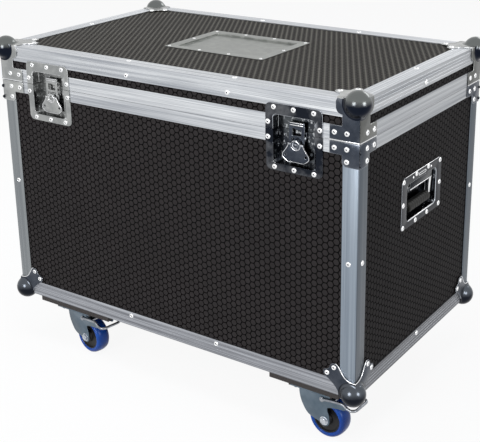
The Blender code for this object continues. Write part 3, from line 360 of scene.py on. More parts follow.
finishes = {
    "laminate": laminateFinish("laminateHex", (0.0300, 0.0272, 0.0276), (0.0022, 0.0018, 0.002),
                               (0.040, 0.036, 0.0365)),
    "laminateTop": laminateFinish("laminateLid", (0.040, 0.038, 0.0355), (0.020, 0.019, 0.018),
                                  (0.056, 0.053, 0.050), 0.9),
    "angle": alloyFinish("angleMill", (0.78, 0.80, 0.82), (0.33, 0.35, 0.385), ends=0.72),
    # The bottom angle takes a darker copy of the mill finish, with ribs and more painted shade on faces towards +X
    "angleLow": alloyFinish("angleMillLow", (0.52, 0.54, 0.58), (0.16, 0.165, 0.185), ribs=0.7, ends=0.45),
    "post": alloyFinish("postMill", (0.34, 0.39, 0.45), (0.21, 0.25, 0.30), True, ends=0.36),
    "postPale": alloyFinish("postMillLeft", (0.31, 0.33, 0.34), (0.19, 0.205, 0.22), True, ends=0.6),
    # Painted light: one zinc-plated steel in lit and shaded copies; the slate, mottled and cup copies are darkened as
    # shade, the pale copy lightened as lit, the warm copy is for end faces, and the pocket and cup copies carry painted
    # reflection specks
    "steelDark": pressedFinish("zincSlate", (0.040, 0.048, 0.064), (0.075, 0.085, 0.105), (0.62, 0.65, 0.70), 0.24),
    "steelPale": pressedFinish("zincPale", (0.30, 0.31, 0.31), (0.46, 0.47, 0.46), (0.85, 0.86, 0.87), 0.26),
    "steelWarm": pressedFinish("zincWarm", (0.115, 0.118, 0.113), (0.165, 0.168, 0.160), (0.62, 0.63, 0.62), 0.30),
    "pocketDark": pressedFinish("pocketSlate", (0.030, 0.034, 0.042), (0.10, 0.11, 0.115),
                                (0.60, 0.62, 0.64), 0.16, 0.8),
    "pocketPale": pressedFinish("pocketPale", (0.16, 0.165, 0.165), (0.34, 0.345, 0.34),
                                (0.85, 0.86, 0.86), 0.18, 0.8),
    "ball": ballFinish("ballZinc", (0.15, 0.16, 0.158), (0.010, 0.013, 0.022)),
    # Painted shade: a darker copy of the ball finish for the low balls and the brace bumps
    "ballLow": ballFinish("ballShadedLow", (0.085, 0.095, 0.11), (0.014, 0.016, 0.022)),
    "nut": platedFinish("nutZinc", (0.62, 0.65, 0.70), (0.34, 0.37, 0.41), 0.20, 90.0),
    "bail": platedFinish("bailZinc", (0.40, 0.42, 0.45), (0.20, 0.21, 0.235), 0.28, 60.0),
    "steelMottled": pressedFinish("zincMottled", (0.014, 0.017, 0.024), (0.125, 0.13, 0.14),
                                  (0.62, 0.65, 0.70), 0.24),
    "steelCup": pressedFinish("zincCup", (0.009, 0.011, 0.015), (0.030, 0.034, 0.042), (0.50, 0.53, 0.57), 0.22),
    "cup": pressedFinish("cupSlate", (0.020, 0.024, 0.032), (0.075, 0.082, 0.095), (0.50, 0.52, 0.55), 0.20, 0.8),
    # Painted highlight: near-white steel for thin lips, beads, arcs and marks that stand for bright edges
    "bright": platedFinish("highlightSteel", (0.86, 0.86, 0.87), (0.68, 0.69, 0.71), 0.16),
    "fork": platedFinish("forkZinc", (0.17, 0.215, 0.26), (0.10, 0.135, 0.17), 0.36, 20.0),
    "rivet": platedFinish("rivetHead", (0.97, 0.97, 0.97), (0.88, 0.89, 0.90), 0.34, 60.0),
    "rivetCore": platedFinish("rivetCore", (0.22, 0.22, 0.23), (0.14, 0.14, 0.15), 0.45, 80.0),
    "label": galvanisedFinish("galvanised", (0.18, 0.19, 0.182), (0.36, 0.37, 0.355)),
    "labelFrame": galvanisedFinish("galvanisedDull", (0.085, 0.088, 0.085), (0.17, 0.175, 0.168)),
    "grip": rubberFinish("gripRubber", (0.010, 0.010, 0.009), (0.022, 0.022, 0.019), 0.50),
    "tyre": rubberFinish("tyreBlue", (0.005, 0.062, 0.370), (0.010, 0.112, 0.540), 0.27),
    "core": rubberFinish("wheelCore", (0.010, 0.010, 0.011), (0.022, 0.021, 0.022), 0.42),
    "board": plywoodFinish("boardStained"),
    "foam": foamFinish("foamCharcoal", (0.018, 0.018, 0.019), (0.040, 0.040, 0.042), 420.0),
    "felt": foamFinish("dividerFelt", (0.022, 0.022, 0.024), (0.050, 0.050, 0.052), 900.0),
}
print("finishes made", len(finishes))


def pickNothing():
    bpy.ops.object.select_all(action="DESELECT")


def pickOnly(piece):
    pickNothing()
    piece.select_set(True)
    bpy.context.view_layer.objects.active = piece


def named(name):
    piece = bpy.context.object
    piece.name = name
    piece.data.name = name
    return piece


def useModifier(piece, kind, **settings):
    pickOnly(piece)
    modifier = piece.modifiers.new(kind.lower(), kind)
    for name, value in settings.items():
        setattr(modifier, name, value)
    bpy.ops.object.modifier_apply(modifier=modifier.name)
    return piece


def softenEdges(piece, width, segments=2, angle=32):
    return useModifier(piece, "BEVEL", width=width, segments=segments, limit_method="ANGLE",
                       angle_limit=math.radians(angle), harden_normals=False)


def editAll():
    bpy.ops.object.mode_set(mode="EDIT")
    bpy.ops.mesh.select_all(action="SELECT")


def leaveEdit():
    bpy.ops.object.mode_set(mode="OBJECT")


# Joined points and normals that face outwards
def tidyNormals(piece):
    pickOnly(piece)
    editAll()
    bpy.ops.mesh.remove_doubles(threshold=0.00001)
    bpy.ops.mesh.normals_make_consistent(inside=False)
    leaveEdit()
    return piece


# A flat outline in X and Y raised to a plate, then carried to its place
def platePiece(name, outline, low, high, place=None, edge=0.0, segments=2):
    pickNothing()
    bpy.ops.mesh.primitive_circle_add(vertices=len(outline), fill_type="NGON")
    piece = named(name)
    for vertex, (x, y) in zip(piece.data.vertices, outline):
        vertex.co = (x, y, low)
    editAll()
    bpy.ops.mesh.extrude_region_move(TRANSFORM_OT_translate={"value": (0, 0, high - low)})
    leaveEdit()
    tidyNormals(piece)
    if edge:
        softenEdges(piece, edge, segments)
    return carried(piece, place)


# A block between its limits along X, Y and Z
def blockPiece(name, x, y, z, place=None, edge=0.0, segments=2):
    pickNothing()
    bpy.ops.mesh.primitive_cube_add(size=2)
    piece = named(name)
    limits = (x, y, z)
    for vertex in piece.data.vertices:
        vertex.co = [limits[axis][1] if vertex.co[axis] > 0 else limits[axis][0] for axis in range(3)]
    if edge:
        softenEdges(piece, edge, segments)
    return carried(piece, place)


# A profile of radius and height spun round Z
def spunPiece(name, profile, place=None, steps=40):
    pickNothing()
    bpy.ops.mesh.primitive_circle_add(vertices=len(profile), fill_type="NOTHING")
    piece = named(name)
    for vertex, (radius, height) in zip(piece.data.vertices, profile):
        vertex.co = (radius, 0, height)
    editAll()
    bpy.ops.mesh.spin(steps=steps, angle=math.tau, center=(0, 0, 0), axis=(0, 0, 1))
    bpy.ops.mesh.select_all(action="SELECT")
    bpy.ops.mesh.remove_doubles(threshold=0.00001)
    bpy.ops.mesh.dissolve_degenerate(threshold=0.000005)
    leaveEdit()
    tidyNormals(piece)
    return carried(piece, place)


# A round bar from one point to another; six sides make a nut
def barPiece(name, radius, start, end, edge=0.0, sides=24):
    start, end = Vector(start), Vector(end)
    pickNothing()
    bpy.ops.mesh.primitive_cylinder_add(vertices=sides, radius=radius, depth=(end - start).length)
    piece = named(name)
    if edge:
        softenEdges(piece, edge, 3, 60)
    turn = (end - start).to_track_quat("Z", "Y").to_matrix().to_4x4()
    return carried(piece, Matrix.Translation((start + end) / 2) @ turn)


def barAcross(name, radius, half, y, z, edge, sides):
    return barPiece(name, radius, (-half, y, z), (half, y, z), edge, sides)


# A round wire through some points
def wirePiece(name, points, radius, place=None, closed=False, sides=3):
    route = bpy.data.curves.new(name, "CURVE")
    route.dimensions = "3D"
    route.bevel_depth = radius
    route.bevel_resolution = sides
    route.use_fill_caps = True
    spline = route.splines.new("POLY")
    spline.points.add(len(points) - 1)
    for spot, point in zip(spline.points, points):
        spot.co = (*point, 1)
    spline.use_cyclic_u = closed
    pickNothing()
    wire = bpy.data.objects.new(name, route)
    bpy.context.collection.objects.link(wire)
    pickOnly(wire)
    bpy.ops.object.convert(target="MESH")
    piece = named(name)
    tidyNormals(piece)
    return carried(piece, place)


# Moves the mesh itself, so that the object stays at the origin; a mirrored place turns the faces back
def carried(piece, place):
    if place is not None:
        piece.data.transform(place)
        if place.determinant() < 0:
            piece.data.flip_normals()
    return piece


def copied(piece, name, place=None):
    twin = piece.copy()
    twin.data = piece.data.copy()
    twin.name = name
    twin.data.name = name
    bpy.context.collection.objects.link(twin)
    return carried(twin, place)


def discard(*pieces):
    for piece in pieces:
        bpy.data.objects.remove(piece, do_unlink=True)


def together(name, pieces):
    pickNothing()
    for piece in pieces:
        piece.select_set(True)
    bpy.context.view_layer.objects.active = pieces[0]
    if len(pieces) > 1:
        bpy.ops.object.join()
    return named(name)


def united(name, pieces):
    for other in pieces[1:]:
        useModifier(pieces[0], "BOOLEAN", operation="UNION", solver="EXACT", object=other)
        discard(other)
    pieces[0].name = name
    return pieces[0]


def cut(piece, *cutters):
    for cutter in cutters:
        useModifier(piece, "BOOLEAN", operation="DIFFERENCE", solver="EXACT", object=cutter)
        discard(cutter)
    return piece


# A test for the edges round the mouth of a pocket, in the plane of a face
def mouthEdges(wide, low, high, face):
    near, flat = 0.0004, 0.00005
    return lambda *ends: all(abs(v.x) < wide + near and low < v.y < high and abs(v.z - face) < flat for v in ends)


# Rounds the edges that a test picks by their two ends
def roundEdges(piece, test, width, segments=4):
    pickOnly(piece)
    bpy.ops.object.mode_set(mode="EDIT")
    bpy.ops.mesh.select_mode(type="EDGE")
    bpy.ops.mesh.select_all(action="DESELECT")
    leaveEdit()
    for line in piece.data.edges:
        first, second = (piece.data.vertices[index].co for index in line.vertices)
        line.select = test(first, second)
    bpy.ops.object.mode_set(mode="EDIT")
    bpy.ops.mesh.bevel(offset=width, segments=segments, affect="EDGES", clamp_overlap=True)
    leaveEdit()
    return piece


def painted(piece, finish):
    piece.data.materials.clear()
    piece.data.materials.append(finishes[finish])
    return piece


def paintedAll(pieces, finish):
    return [painted(piece, finish) for piece in pieces]


# The last step of a piece: its look, shading, body and the nodes that it stands for
def done(piece, finish, body, nodes=(), smooth=35):
    if finish:
        painted(piece, finish)
    pickOnly(piece)
    bpy.ops.object.shade_smooth_by_angle(angle=math.radians(smooth))
    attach(piece, body)
    if nodes:
        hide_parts(*nodes)
    return piece


# A copy of a shape, carried to its place and done
def placed(shape, name, place, finish, body, nodes=(), smooth=35):
    return done(copied(shape, name, place), finish, body, nodes, smooth)


# The faces that a test picks get a second finish
def paintedFaces(piece, first, second, test):
    painted(piece, first)
    piece.data.materials.append(finishes[second])
    for face in piece.data.polygons:
        face.material_index = 1 if test(face.center) else 0
    return piece


litLeftCopies = {"steelDark": "steelPale", "pocketDark": "pocketPale", "steelWarm": "steelPale",
                 "steelMottled": "steelPale"}


# Painted light: hardware on the left of the case takes the pale, lit copies of the zinc finishes, and the right keeps
# the dark, shaded ones
def paler(piece, name):
    if "left" in name:
        for place, old in enumerate(piece.data.materials):
            for dark, pale in litLeftCopies.items():
                if old == finishes[dark]:
                    piece.data.materials[place] = finishes[pale]
    return piece


def arc(centre, radius, start, end, steps):
    angles = [math.radians(start + (end - start) * step / steps) for step in range(steps + 1)]
    return [(centre[0] + radius * math.cos(angle), centre[1] + radius * math.sin(angle)) for angle in angles]


# A rectangle with rounded corners, low-left first
def rounded(x, y, radii, steps=6):
    if not isinstance(radii, tuple):
        radii = (radii,) * 4
    (left, right), (low, high) = x, y
    points = []
    for index, radius in enumerate(radii):
        corner = ((left, low), (right, low), (right, high), (left, high))[index]
        inward = ((1, 1), (-1, 1), (-1, -1), (1, -1))[index]
        centre = (corner[0] + inward[0] * radius, corner[1] + inward[1] * radius)
        points += arc(centre, radius, 180 + 90 * index, 270 + 90 * index, steps) if radius else [corner]
    return points


# A smooth curve through points, closed or open
def smoothed(points, steps=4, closed=True):
    count = len(points)
    curve = []
    for index in range(count if closed else count - 1):
        if closed:
            a, b, c, d = (Vector(points[(index + shift) % count]) for shift in (-1, 0, 1, 2))
        else:
            a, b, c, d = (Vector(points[min(max(index + shift, 0), count - 1)]) for shift in (-1, 0, 1, 2))
        for step in range(steps):
            t = step / steps
            curve.append(tuple((b * 2 + (c - a) * t + (a * 2 - b * 5 + c * 4 - d) * t * t
                                + (b * 3 - a - c * 3 + d) * t ** 3) / 2))
    if not closed:
        curve.append(tuple(points[-1]))
    return curve


def mm(points):
    return [tuple(value / 1000 for value in point) for point in points]


def offsetBy(x, y, z):
    return Matrix.Translation((x, y, z))


def rotatedBy(degrees, axis):
    return Matrix.Rotation(math.radians(degrees), 4, axis)


# A frame on a face: X to the right, Y up and Z out of it
def faceFrame(origin, right, up):
    right, up = Vector(right), Vector(up)
    return Matrix.Translation(origin) @ Matrix((right, up, right.cross(up))).transposed().to_4x4()


def frontFrame(x, z):
    return faceFrame((x, -halfY, z), (1, 0, 0), (0, 0, 1))


def backFrame(x, z):
    return faceFrame((x, halfY, z), (-1, 0, 0), (0, 0, 1))


def endFrame(side, z):
    return faceFrame((side * halfX, 0, z), (0, side, 0), (0, 0, 1))


def topFrame(x, y):
    return faceFrame((x, y, topZ), (1, 0, 0), (0, 1, 0))


# A vertical corner: X and Y run inwards along its two faces
def cornerFrame(index, z):
    side = ((-1, -1), (1, -1), (1, 1), (-1, 1))[index]
    place = offsetBy(side[0] * halfX, side[1] * halfY, z)
    return place @ rotatedBy(90 * index, "Z")


# The two faces of a corner, each as a frame whose Z points out
cornerFaces = (Matrix(((1, 0, 0, 0), (0, 0, -1, 0), (0, 1, 0, 0), (0, 0, 0, 1))),
               Matrix(((0, 0, -1, 0), (1, 0, 0, 0), (0, 1, 0, 0), (0, 0, 0, 1))))

rivet = {"radius": 0.0047, "height": 0.0016, "dish": 0.0017, "sunk": 0.0007}


def rivetHead():
    r, h = rivet["radius"], rivet["height"]
    profile = [(0, 0), (r, 0), (r * 0.97, h * 0.35), (r * 0.78, h * 0.85), (rivet["dish"] * 1.3, h),
               (rivet["dish"], h * 0.8), (rivet["dish"] * 0.7, rivet["sunk"]), (0, rivet["sunk"])]
    head = spunPiece("rivetHead", profile, steps=14)
    head.data.materials.append(finishes["rivet"])
    head.data.materials.append(finishes["rivetCore"])
    for face in head.data.polygons:
        middle = face.center
        inside = math.hypot(middle.x, middle.y) < rivet["dish"] * 0.9 and middle.z > 0
        face.material_index = 1 if inside else 0
    return head


head = rivetHead()


# Copies of one rivet head at many places, as one piece
def rivetRow(name, body, places):
    row = together(name, [copied(head, name + str(index), place) for index, place in enumerate(places)])
    return done(row, None, body, smooth=40)


def spot(place, x, y, out):
    return place @ offsetBy(x, y, out)


# Camera at the photograph's viewing angle
picture = {"place": (1.1369, -1.5953, 1.0685), "azimuth": 33.87, "elevation": 18.27, "roll": -0.60,
           "focal": 1032.3, "width": 480, "offset": (27.1, -72.0), "sensor": 36.0}


def makeCamera():
    azimuth, elevation = math.radians(picture["azimuth"]), math.radians(picture["elevation"])
    back = Vector((math.sin(azimuth) * math.cos(elevation), -math.cos(azimuth) * math.cos(elevation),
                   math.sin(elevation)))
    bpy.ops.object.camera_add(location=picture["place"])
    camera = named("photographView")
    camera.rotation_mode = "QUATERNION"
    turn = (-back).to_track_quat("-Z", "Y")
    camera.rotation_quaternion = turn @ Quaternion((0, 0, 1), math.radians(picture["roll"]))
    camera.data.sensor_width = picture["sensor"]
    camera.data.lens = picture["focal"] / picture["width"] * picture["sensor"]
    camera.data.shift_x = -picture["offset"][0] / picture["width"]
    camera.data.shift_y = picture["offset"][1] / picture["width"]
    bpy.context.scene.camera = camera


# Which lamps light matt surfaces, and which show in polished metal
lamps = {
    "keyLeft": {"place": (-1.7, -2.3, 2.3), "size": (1.2, 1.2), "power": 20, "lights": True, "mirrored": False},
    "frontRound": {"place": (-0.05, -2.70, 1.15), "size": (1.15, 1.15), "power": 29, "lights": True,
                   "mirrored": True},
    "topSoft": {"place": (0.1, -0.4, 2.9), "size": (2.0, 1.4), "power": 32, "lights": True, "mirrored": False},
    "sideRight": {"place": (2.7, -0.75, 1.10), "size": (1.05, 1.05), "power": 22, "lights": False, "mirrored": True},
    "backRim": {"place": (0.6, 2.6, 1.9), "size": (2.0, 1.2), "power": 16, "lights": True, "mirrored": True},
}


studio = {"sky": (0.86, 0.90, 0.96), "skyStrength": 0.25, "background": (1.0, 1.0, 1.0), "aim": (0, 0, 0.3),
          "floor": (0.42, 0.43, 0.44), "floorSize": 14, "floorGlow": 1.15, "floorShown": 0.80}


# Rays that show the pale background: the camera's own, and those in metal and glass
def pictured(tree, rays):
    names = ("Is Camera Ray", "Is Glossy Ray", "Is Transmission Ray")
    straight, mirrored, through = (Wire(tree, rays.outputs[name]) for name in names)
    return straight.upper(mirrored).upper(through)


# One shader as it lights the object, and one as it is seen
def twoShaders(tree, share, lighting, shown, output):
    pick = tree.nodes.new("ShaderNodeMixShader")
    join(tree, share, pick.inputs[0])
    join(tree, Wire(tree, lighting.outputs[0]), pick.inputs[1])
    join(tree, Wire(tree, shown.outputs[0]), pick.inputs[2])
    out = tree.nodes.new("ShaderNodeOutput" + output)
    join(tree, Wire(tree, pick.outputs[0]), out.inputs[0])


def makeLight():
    for name, lamp in lamps.items():
        bpy.ops.object.light_add(type="AREA", location=lamp["place"])
        light = named(name)
        light.data.shape = "ELLIPSE"
        light.data.size, light.data.size_y = lamp["size"]
        light.data.energy = lamp["power"]
        aim = Vector(studio["aim"]) - Vector(lamp["place"])
        light.rotation_mode = "QUATERNION"
        light.rotation_quaternion = aim.to_track_quat("-Z", "Y")
        light.visible_diffuse, light.visible_glossy = lamp["lights"], lamp["mirrored"]
    world = bpy.data.worlds.new("studio")
    bpy.context.scene.world = world
    world.use_nodes = True
    tree = world.node_tree
    tree.nodes.clear()
    rays = tree.nodes.new("ShaderNodeLightPath")
    sky = tree.nodes.new("ShaderNodeBackground")
    join(tree, studio["sky"], sky.inputs["Color"])
    join(tree, studio["skyStrength"], sky.inputs["Strength"])
    white = tree.nodes.new("ShaderNodeBackground")
    join(tree, studio["background"], white.inputs["Color"])
    twoShaders(tree, pictured(tree, rays), sky, white, "World")
    bpy.context.scene.view_settings.view_transform = "Standard"


def makeFloor():
    pickNothing()
    bpy.ops.mesh.primitive_plane_add(size=studio["floorSize"])
    floor = named("studioFloor")
    look = bpy.data.materials.new("studioFloor")
    look.use_nodes = True
    tree = look.node_tree
    tree.nodes.clear()
    rays = tree.nodes.new("ShaderNodeLightPath")
    matt = tree.nodes.new("ShaderNodeBsdfDiffuse")
    join(tree, studio["floor"], matt.inputs["Color"])
    glow = tree.nodes.new("ShaderNodeEmission")
    join(tree, studio["floorGlow"], glow.inputs["Strength"])
    twoShaders(tree, pictured(tree, rays) * studio["floorShown"], matt, glow, "Material")
    floor.data.materials.append(look)


makeCamera()
makeLight()
makeFloor()
print("camera, lamps and floor made")


# Nodes that keep their own mesh only get a material
def dressNode(node, finish):
    painted(frame["nodes"][node], finish)


def dressPanels():
    for node in ("front_panel", "back_panel", "left_panel", "right_panel", "floor_panel", "lid_band"):
        dressNode(node, "laminate")
    dressNode("lid_top_panel", "laminateTop")
    dressNode("bottom_edge_frame", "angleLow")
    for node in ("lid_edge_frame", "base_rail_frame", "base_rail_front", "lid_rail_frame", "lid_rail_front"):
        dressNode(node, "angle")


dressPanels()
print("panels and angles dressed")

post = {"flange": 0.030, "wall": 0.0015, "arris": 0.0030, "foot": 0.030, "ribs": (0.0075, 0.0225)}
brace = {"sheet": 0.0015, "arm": 0.054, "armDrop": 0.022, "leg": 0.031, "legDrop": 0.0415, "cut": 0.006,
         "bump": 0.0035, "bumpDrops": (0.0135, 0.0355)}


def makePosts():
    w, a = post["wall"], post["arris"]
    low, high = baseZ + post["foot"] + gap, seamZ - brace["armDrop"] - gap
    outer = arc((a, a), a, 180, 270, 6)
    outline = [*outer, (post["flange"], 0), (post["flange"], w), (w, w), (w, post["flange"]), (0, post["flange"])]
    shape = platePiece("post", outline, low, high, edge=0.0003, segments=2)
    for index, name in enumerate(cornerNames):
        # The left posts take a second copy of the mill finish, greyer and with less painted shade on faces towards +X
        finish = "postPale" if "left" in name else "post"
        placed(shape, "post_" + name, cornerFrame(index, 0), finish, "case", ["corner_post_" + name])
    discard(shape)


def makeBraces():
    t = brace["sheet"]
    out = gap + t
    outline = [(-out, -brace["legDrop"]), (brace["leg"] - brace["cut"], -brace["legDrop"]),
               (brace["leg"], -brace["legDrop"] + brace["cut"]), (brace["leg"], -brace["armDrop"] - 0.001),
               (brace["leg"] + 0.001, -brace["armDrop"]), (brace["arm"], -brace["armDrop"]),
               (brace["arm"], -gap * 2), (-out, -gap * 2)]
    sheets = [platePiece("braceSheet", outline, gap, out, face, edge=0.0005) for face in cornerFaces]
    bumps = []
    for drop in brace["bumpDrops"]:
        profile = [(0, -0.0015), (brace["bump"], -0.0015), (brace["bump"] * 0.8, 0.0006), (0, 0.0012)]
        place = offsetBy(-out * 0.62, -out * 0.62, -drop) @ rotatedBy(-45, "Z")
        place = place @ rotatedBy(-90, "Y")
        bumps.append(spunPiece("braceBump", profile, place, 16))
    # The bumps take the darker, shaded ball copy
    shape = together("brace", paintedAll(sheets, "steelDark") + paintedAll(bumps, "ballLow"))
    for index, name in enumerate(cornerNames):
        piece = copied(shape, "brace_" + name, cornerFrame(index, seamZ))
        done(paler(piece, name), None, "case")
    discard(shape)


ball = {"radius": 0.0225, "inset": 0.0070, "fillet": 0.0070}
lidCorner = {"ear": 0.043, "earTurn": 0.012, "armHigh": 0.026, "flange": 0.030}
topLobe = mm([(-1.8, -1.8), (20, -1.8), (40, -1.8), (43, 2), (45, 14), (50, 23), (58, 27), (64, 32), (64, 39),
              (57, 43), (48, 44), (44, 48), (43, 57), (39, 64), (32, 64), (27, 58), (23, 50), (14, 45), (2, 43),
              (-1.8, 40), (-1.8, 20)])
pawLow = mm([(29.5, 0), (31.5, 6), (37.5, 15.5), (48, 25), (57, 31), (62, 37), (60.5, 43.5), (54.5, 46.5), (50.5, 49),
             (48.5, 54.5), (44, 59), (38, 60)])
pawRim = mm([(38, 60), (33, 56.5), (28.1, 48.7), (21.6, 39.7), (14.4, 34.4), (6, 32.3), (-1.8, 32)])


def ballPiece(z):
    pickNothing()
    bpy.ops.mesh.primitive_uv_sphere_add(segments=56, ring_count=28, radius=ball["radius"])
    return carried(named("ball"), offsetBy(ball["inset"], ball["inset"], z))


# The sweep of metal from a ball out to one sheet, mitred against the sheets beside it
def filletPiece(place, kept, foot=False):
    f, r = ball["fillet"], ball["radius"]
    high = ball["inset"] + gap + brace["sheet"]
    rho = math.sqrt((r + f) ** 2 - (high + f) ** 2)
    sweep = arc((rho, high + f), f, math.degrees(math.atan2(-high - f, -rho)), -90, 7)
    inner, under = sweep[0][0] - 0.002, high - 0.0012
    ring = spunPiece("fillet", [*sweep, (rho, under), (inner, under), (inner, sweep[0][1])], steps=56)
    for side in kept:
        turn = Vector((1, 0, 0)).rotation_difference(Vector(side)).to_matrix().to_4x4()
        cut(ring, blockPiece("beyond", (-0.1, 0), (-0.1, 0.1), (-0.1, 0.1), turn))
    if foot:
        cut(ring, blockPiece("beyond", (-0.1, 0.1), (-0.1, -high), (-0.1, 0.1)))
    return carried(ring, place)


def makeLidCorners():
    t, height = brace["sheet"], topZ - seamZ
    out = gap + t
    armHigh, leg, ear = lidCorner["armHigh"], brace["leg"], lidCorner["ear"]
    turn = lidCorner["earTurn"]
    outline = [(-out, gap * 2), (brace["arm"], gap * 2), (brace["arm"], armHigh), (leg + 0.001, armHigh),
               (leg, armHigh + 0.001), (leg, height - 0.026),
               *arc((leg, height - 0.026 + turn), turn, -90, -8, 6)[1:], (ear, height - 0.004),
               (ear - 0.003, height + out), (-out, height + out)]
    sheets = [platePiece("cornerSheet", outline, gap, out, face, edge=0.0005) for face in cornerFaces]
    top = platePiece("cornerTop", smoothed(topLobe, 4), height + gap, height + out, edge=0.0005)
    # Painted highlight: a bright lip along the foot of each sheet
    lips = [blockPiece("cornerLip", (-out - 0.0006, brace["arm"]), (gap * 2, 0.0026), (gap, out + 0.0006),
                       face, 0.0005) for face in cornerFaces]
    knob = cut(ballPiece(height - ball["inset"]),
               blockPiece("inside", (-gap, 0.1), (-gap, 0.1), (-0.1, height + gap)))
    centre = offsetBy(ball["inset"], height - ball["inset"], -ball["inset"])
    fillets = [filletPiece(face @ centre, ((1, 0, 1), (0, -1, 1))) for face in cornerFaces]
    fillets.append(filletPiece(offsetBy(ball["inset"], ball["inset"], height - ball["inset"]),
                               ((1, 0, 1), (0, 1, 1))))
    # Painted light: the top lobe takes the pale, lit copy of the zinc, and the sheets the dark, shaded and warm copies
    for part, finish in zip([*sheets, top], ("steelDark", "steelWarm", "steelPale")):
        painted(part, finish)
    shape = together("lidCorner", [*sheets, top, *paintedAll([knob, *fillets], "ball"), *paintedAll(lips, "bright")])
    for index, name in enumerate(cornerNames):
        piece = copied(shape, "ballCorner_lid_" + name, cornerFrame(index, seamZ))
        slots = [material.name for material in piece.data.materials]
        front, end = slots.index("zincSlate"), slots.index("zincWarm")
        # Painted light: faces on the ends of the case take the warm copy, the front and back faces the dark one
        for face in piece.data.polygons:
            if face.material_index in (front, end):
                face.material_index = end if abs(face.center.x) > halfX + gap / 2 else front
        done(paler(piece, name), None, "lid", ["lid_corner_" + name], smooth=40)
    discard(shape)


def makeBaseCorners():
    t = brace["sheet"]
    out = gap + t
    rim = smoothed(pawRim, 4, closed=False)
    outline = [(-out, -out), (0.029, -out), *smoothed(pawLow, 4, closed=False), *rim[1:]]
    sheets = [platePiece("pawSheet", outline, gap, out, face, edge=0.0005) for face in cornerFaces]
    # Painted highlight: a bright wire along the paw's rim
    lip = [(x, -gap - t * 0.55, z) for x, z in rim[:-2]]
    fold = [(-gap - t * 0.4, -gap - t * 0.4, pawRim[-1][1])]
    wire = wirePiece("pawLip", [*lip, *fold, *[(y, x, z) for x, y, z in reversed(lip)]], 0.0011)
    knob = cut(ballPiece(ball["inset"]), blockPiece("inside", (-gap, 0.1), (-gap, 0.1), (-gap, 0.1)))
    centre = offsetBy(ball["inset"], ball["inset"], -ball["inset"])
    fillets = [filletPiece(face @ centre, ((1, 0, 1),), foot=True) for face in cornerFaces]
    # The low balls and fillets take the darker, shaded ball copy
    knobs = paintedAll([knob, *fillets], "ballLow")
    shape = together("baseCorner", [*paintedAll(sheets, "steelDark"), painted(wire, "bright"), *knobs])
    for index, name in enumerate(cornerNames):
        placed(shape, "ballCorner_base_" + name, cornerFrame(index, baseZ), None, "case",
               ["base_corner_" + name], 40)
    discard(shape)


# Rivets by height over the case bottom or from the seam, and by distance from the corner
cornerRivets = {"brace": mm([(22, -11.5), (45, -11.5), (22, -32.5)]), "ear": mm([(22, 14.5), (45, 14.5)]),
                "paw": mm([(41.0, 52), (54.5, 38.8)]), "lobe": mm([(56, 35), (35, 56)]), "post": mm([(17, 250)])}


def makeCornerRivets():
    out = gap + brace["sheet"]
    fixed, lifted = [], []
    for index in range(4):
        for face in cornerFaces:
            seam, base = cornerFrame(index, seamZ) @ face, cornerFrame(index, baseZ) @ face
            fixed += [spot(seam, x, y, out) for x, y in cornerRivets["brace"]]
            fixed += [spot(base, x, y, out) for x, y in cornerRivets["paw"]]
            fixed += [spot(base, x, y, 0) for x, y in cornerRivets["post"]]
            lifted += [spot(seam, x, y, out) for x, y in cornerRivets["ear"]]
        lifted += [spot(cornerFrame(index, topZ), x, y, out) for x, y in cornerRivets["lobe"]]
    rivetRow("rivets_corners_case", "case", fixed)
    rivetRow("rivets_corners_lid", "lid", lifted)


makePosts()
makeBraces()
makeLidCorners()
makeBaseCorners()
makeCornerRivets()
print("posts, braces and ball corners made")

# Rivets along the angles: place along the run, distance from the outer edge
angleRivets = {"lidFront": (-0.079, 0.145), "lidTop": (-0.088, 0.147), "baseFront": (-0.0985, 0.107),
               "sides": (0.0,), "inset": 0.0215, "topInset": 0.020, "baseUp": 0.022}


def makeAngleRivets():
    lidUp, baseUp = topZ - angleRivets["inset"], baseZ + angleRivets["baseUp"]
    overX, overY = halfX - angleRivets["topInset"], halfY - angleRivets["topInset"]
    lifted = [frontFrame(x, lidUp) for x in angleRivets["lidFront"]]
    lifted += [backFrame(-x, lidUp) for x in angleRivets["lidFront"]]
    lifted += [topFrame(x, side * overY) for x in angleRivets["lidTop"] for side in (-1, 1)]
    lifted += [topFrame(side * overX, y) for y in angleRivets["sides"] for side in (-1, 1)]
    lifted += [spot(endFrame(side, lidUp), y, 0, 0) for y in angleRivets["sides"] for side in (-1, 1)]
    fixed = [frontFrame(x, baseUp) for x in angleRivets["baseFront"]]
    fixed += [backFrame(-x, baseUp) for x in angleRivets["baseFront"]]
    fixed += [spot(endFrame(side, baseUp), y, 0, 0) for y in angleRivets["sides"] for side in (-1, 1)]
    rivetRow("rivets_angle_lid", "lid", lifted)
    rivetRow("rivets_angle_case", "case", fixed)


makeAngleRivets()

latch = {"half": 0.055, "drop": 0.0715, "rise": 0.0455, "corner": 0.010, "sheet": 0.0012,
         "pocket": 0.040, "pocketDrop": 0.0585, "pocketRise": 0.026, "pocketCorner": 0.0075, "depth": 0.0152,
         "rail": 0.022, "panelBack": 0.0015, "mouth": 0.0013, "lip": 0.0006}
keeper = {"half": 0.013, "low": 0.001, "high": 0.004, "face": 0.0129}
guide = {"x": 0.0153, "width": 0.0016, "length": 0.010, "high": 0.003}
latchRivets = mm([(-38.5, 38.5), (0, 38.5), (38.5, 38.5), (-50, 12), (50, 12)])
latchRivetsLow = mm([(-50, -14.2), (50, -14.2)])
latchRivetsFoot = mm([(-38.5, -65.5), (0, -65.5), (38.5, -65.5)])


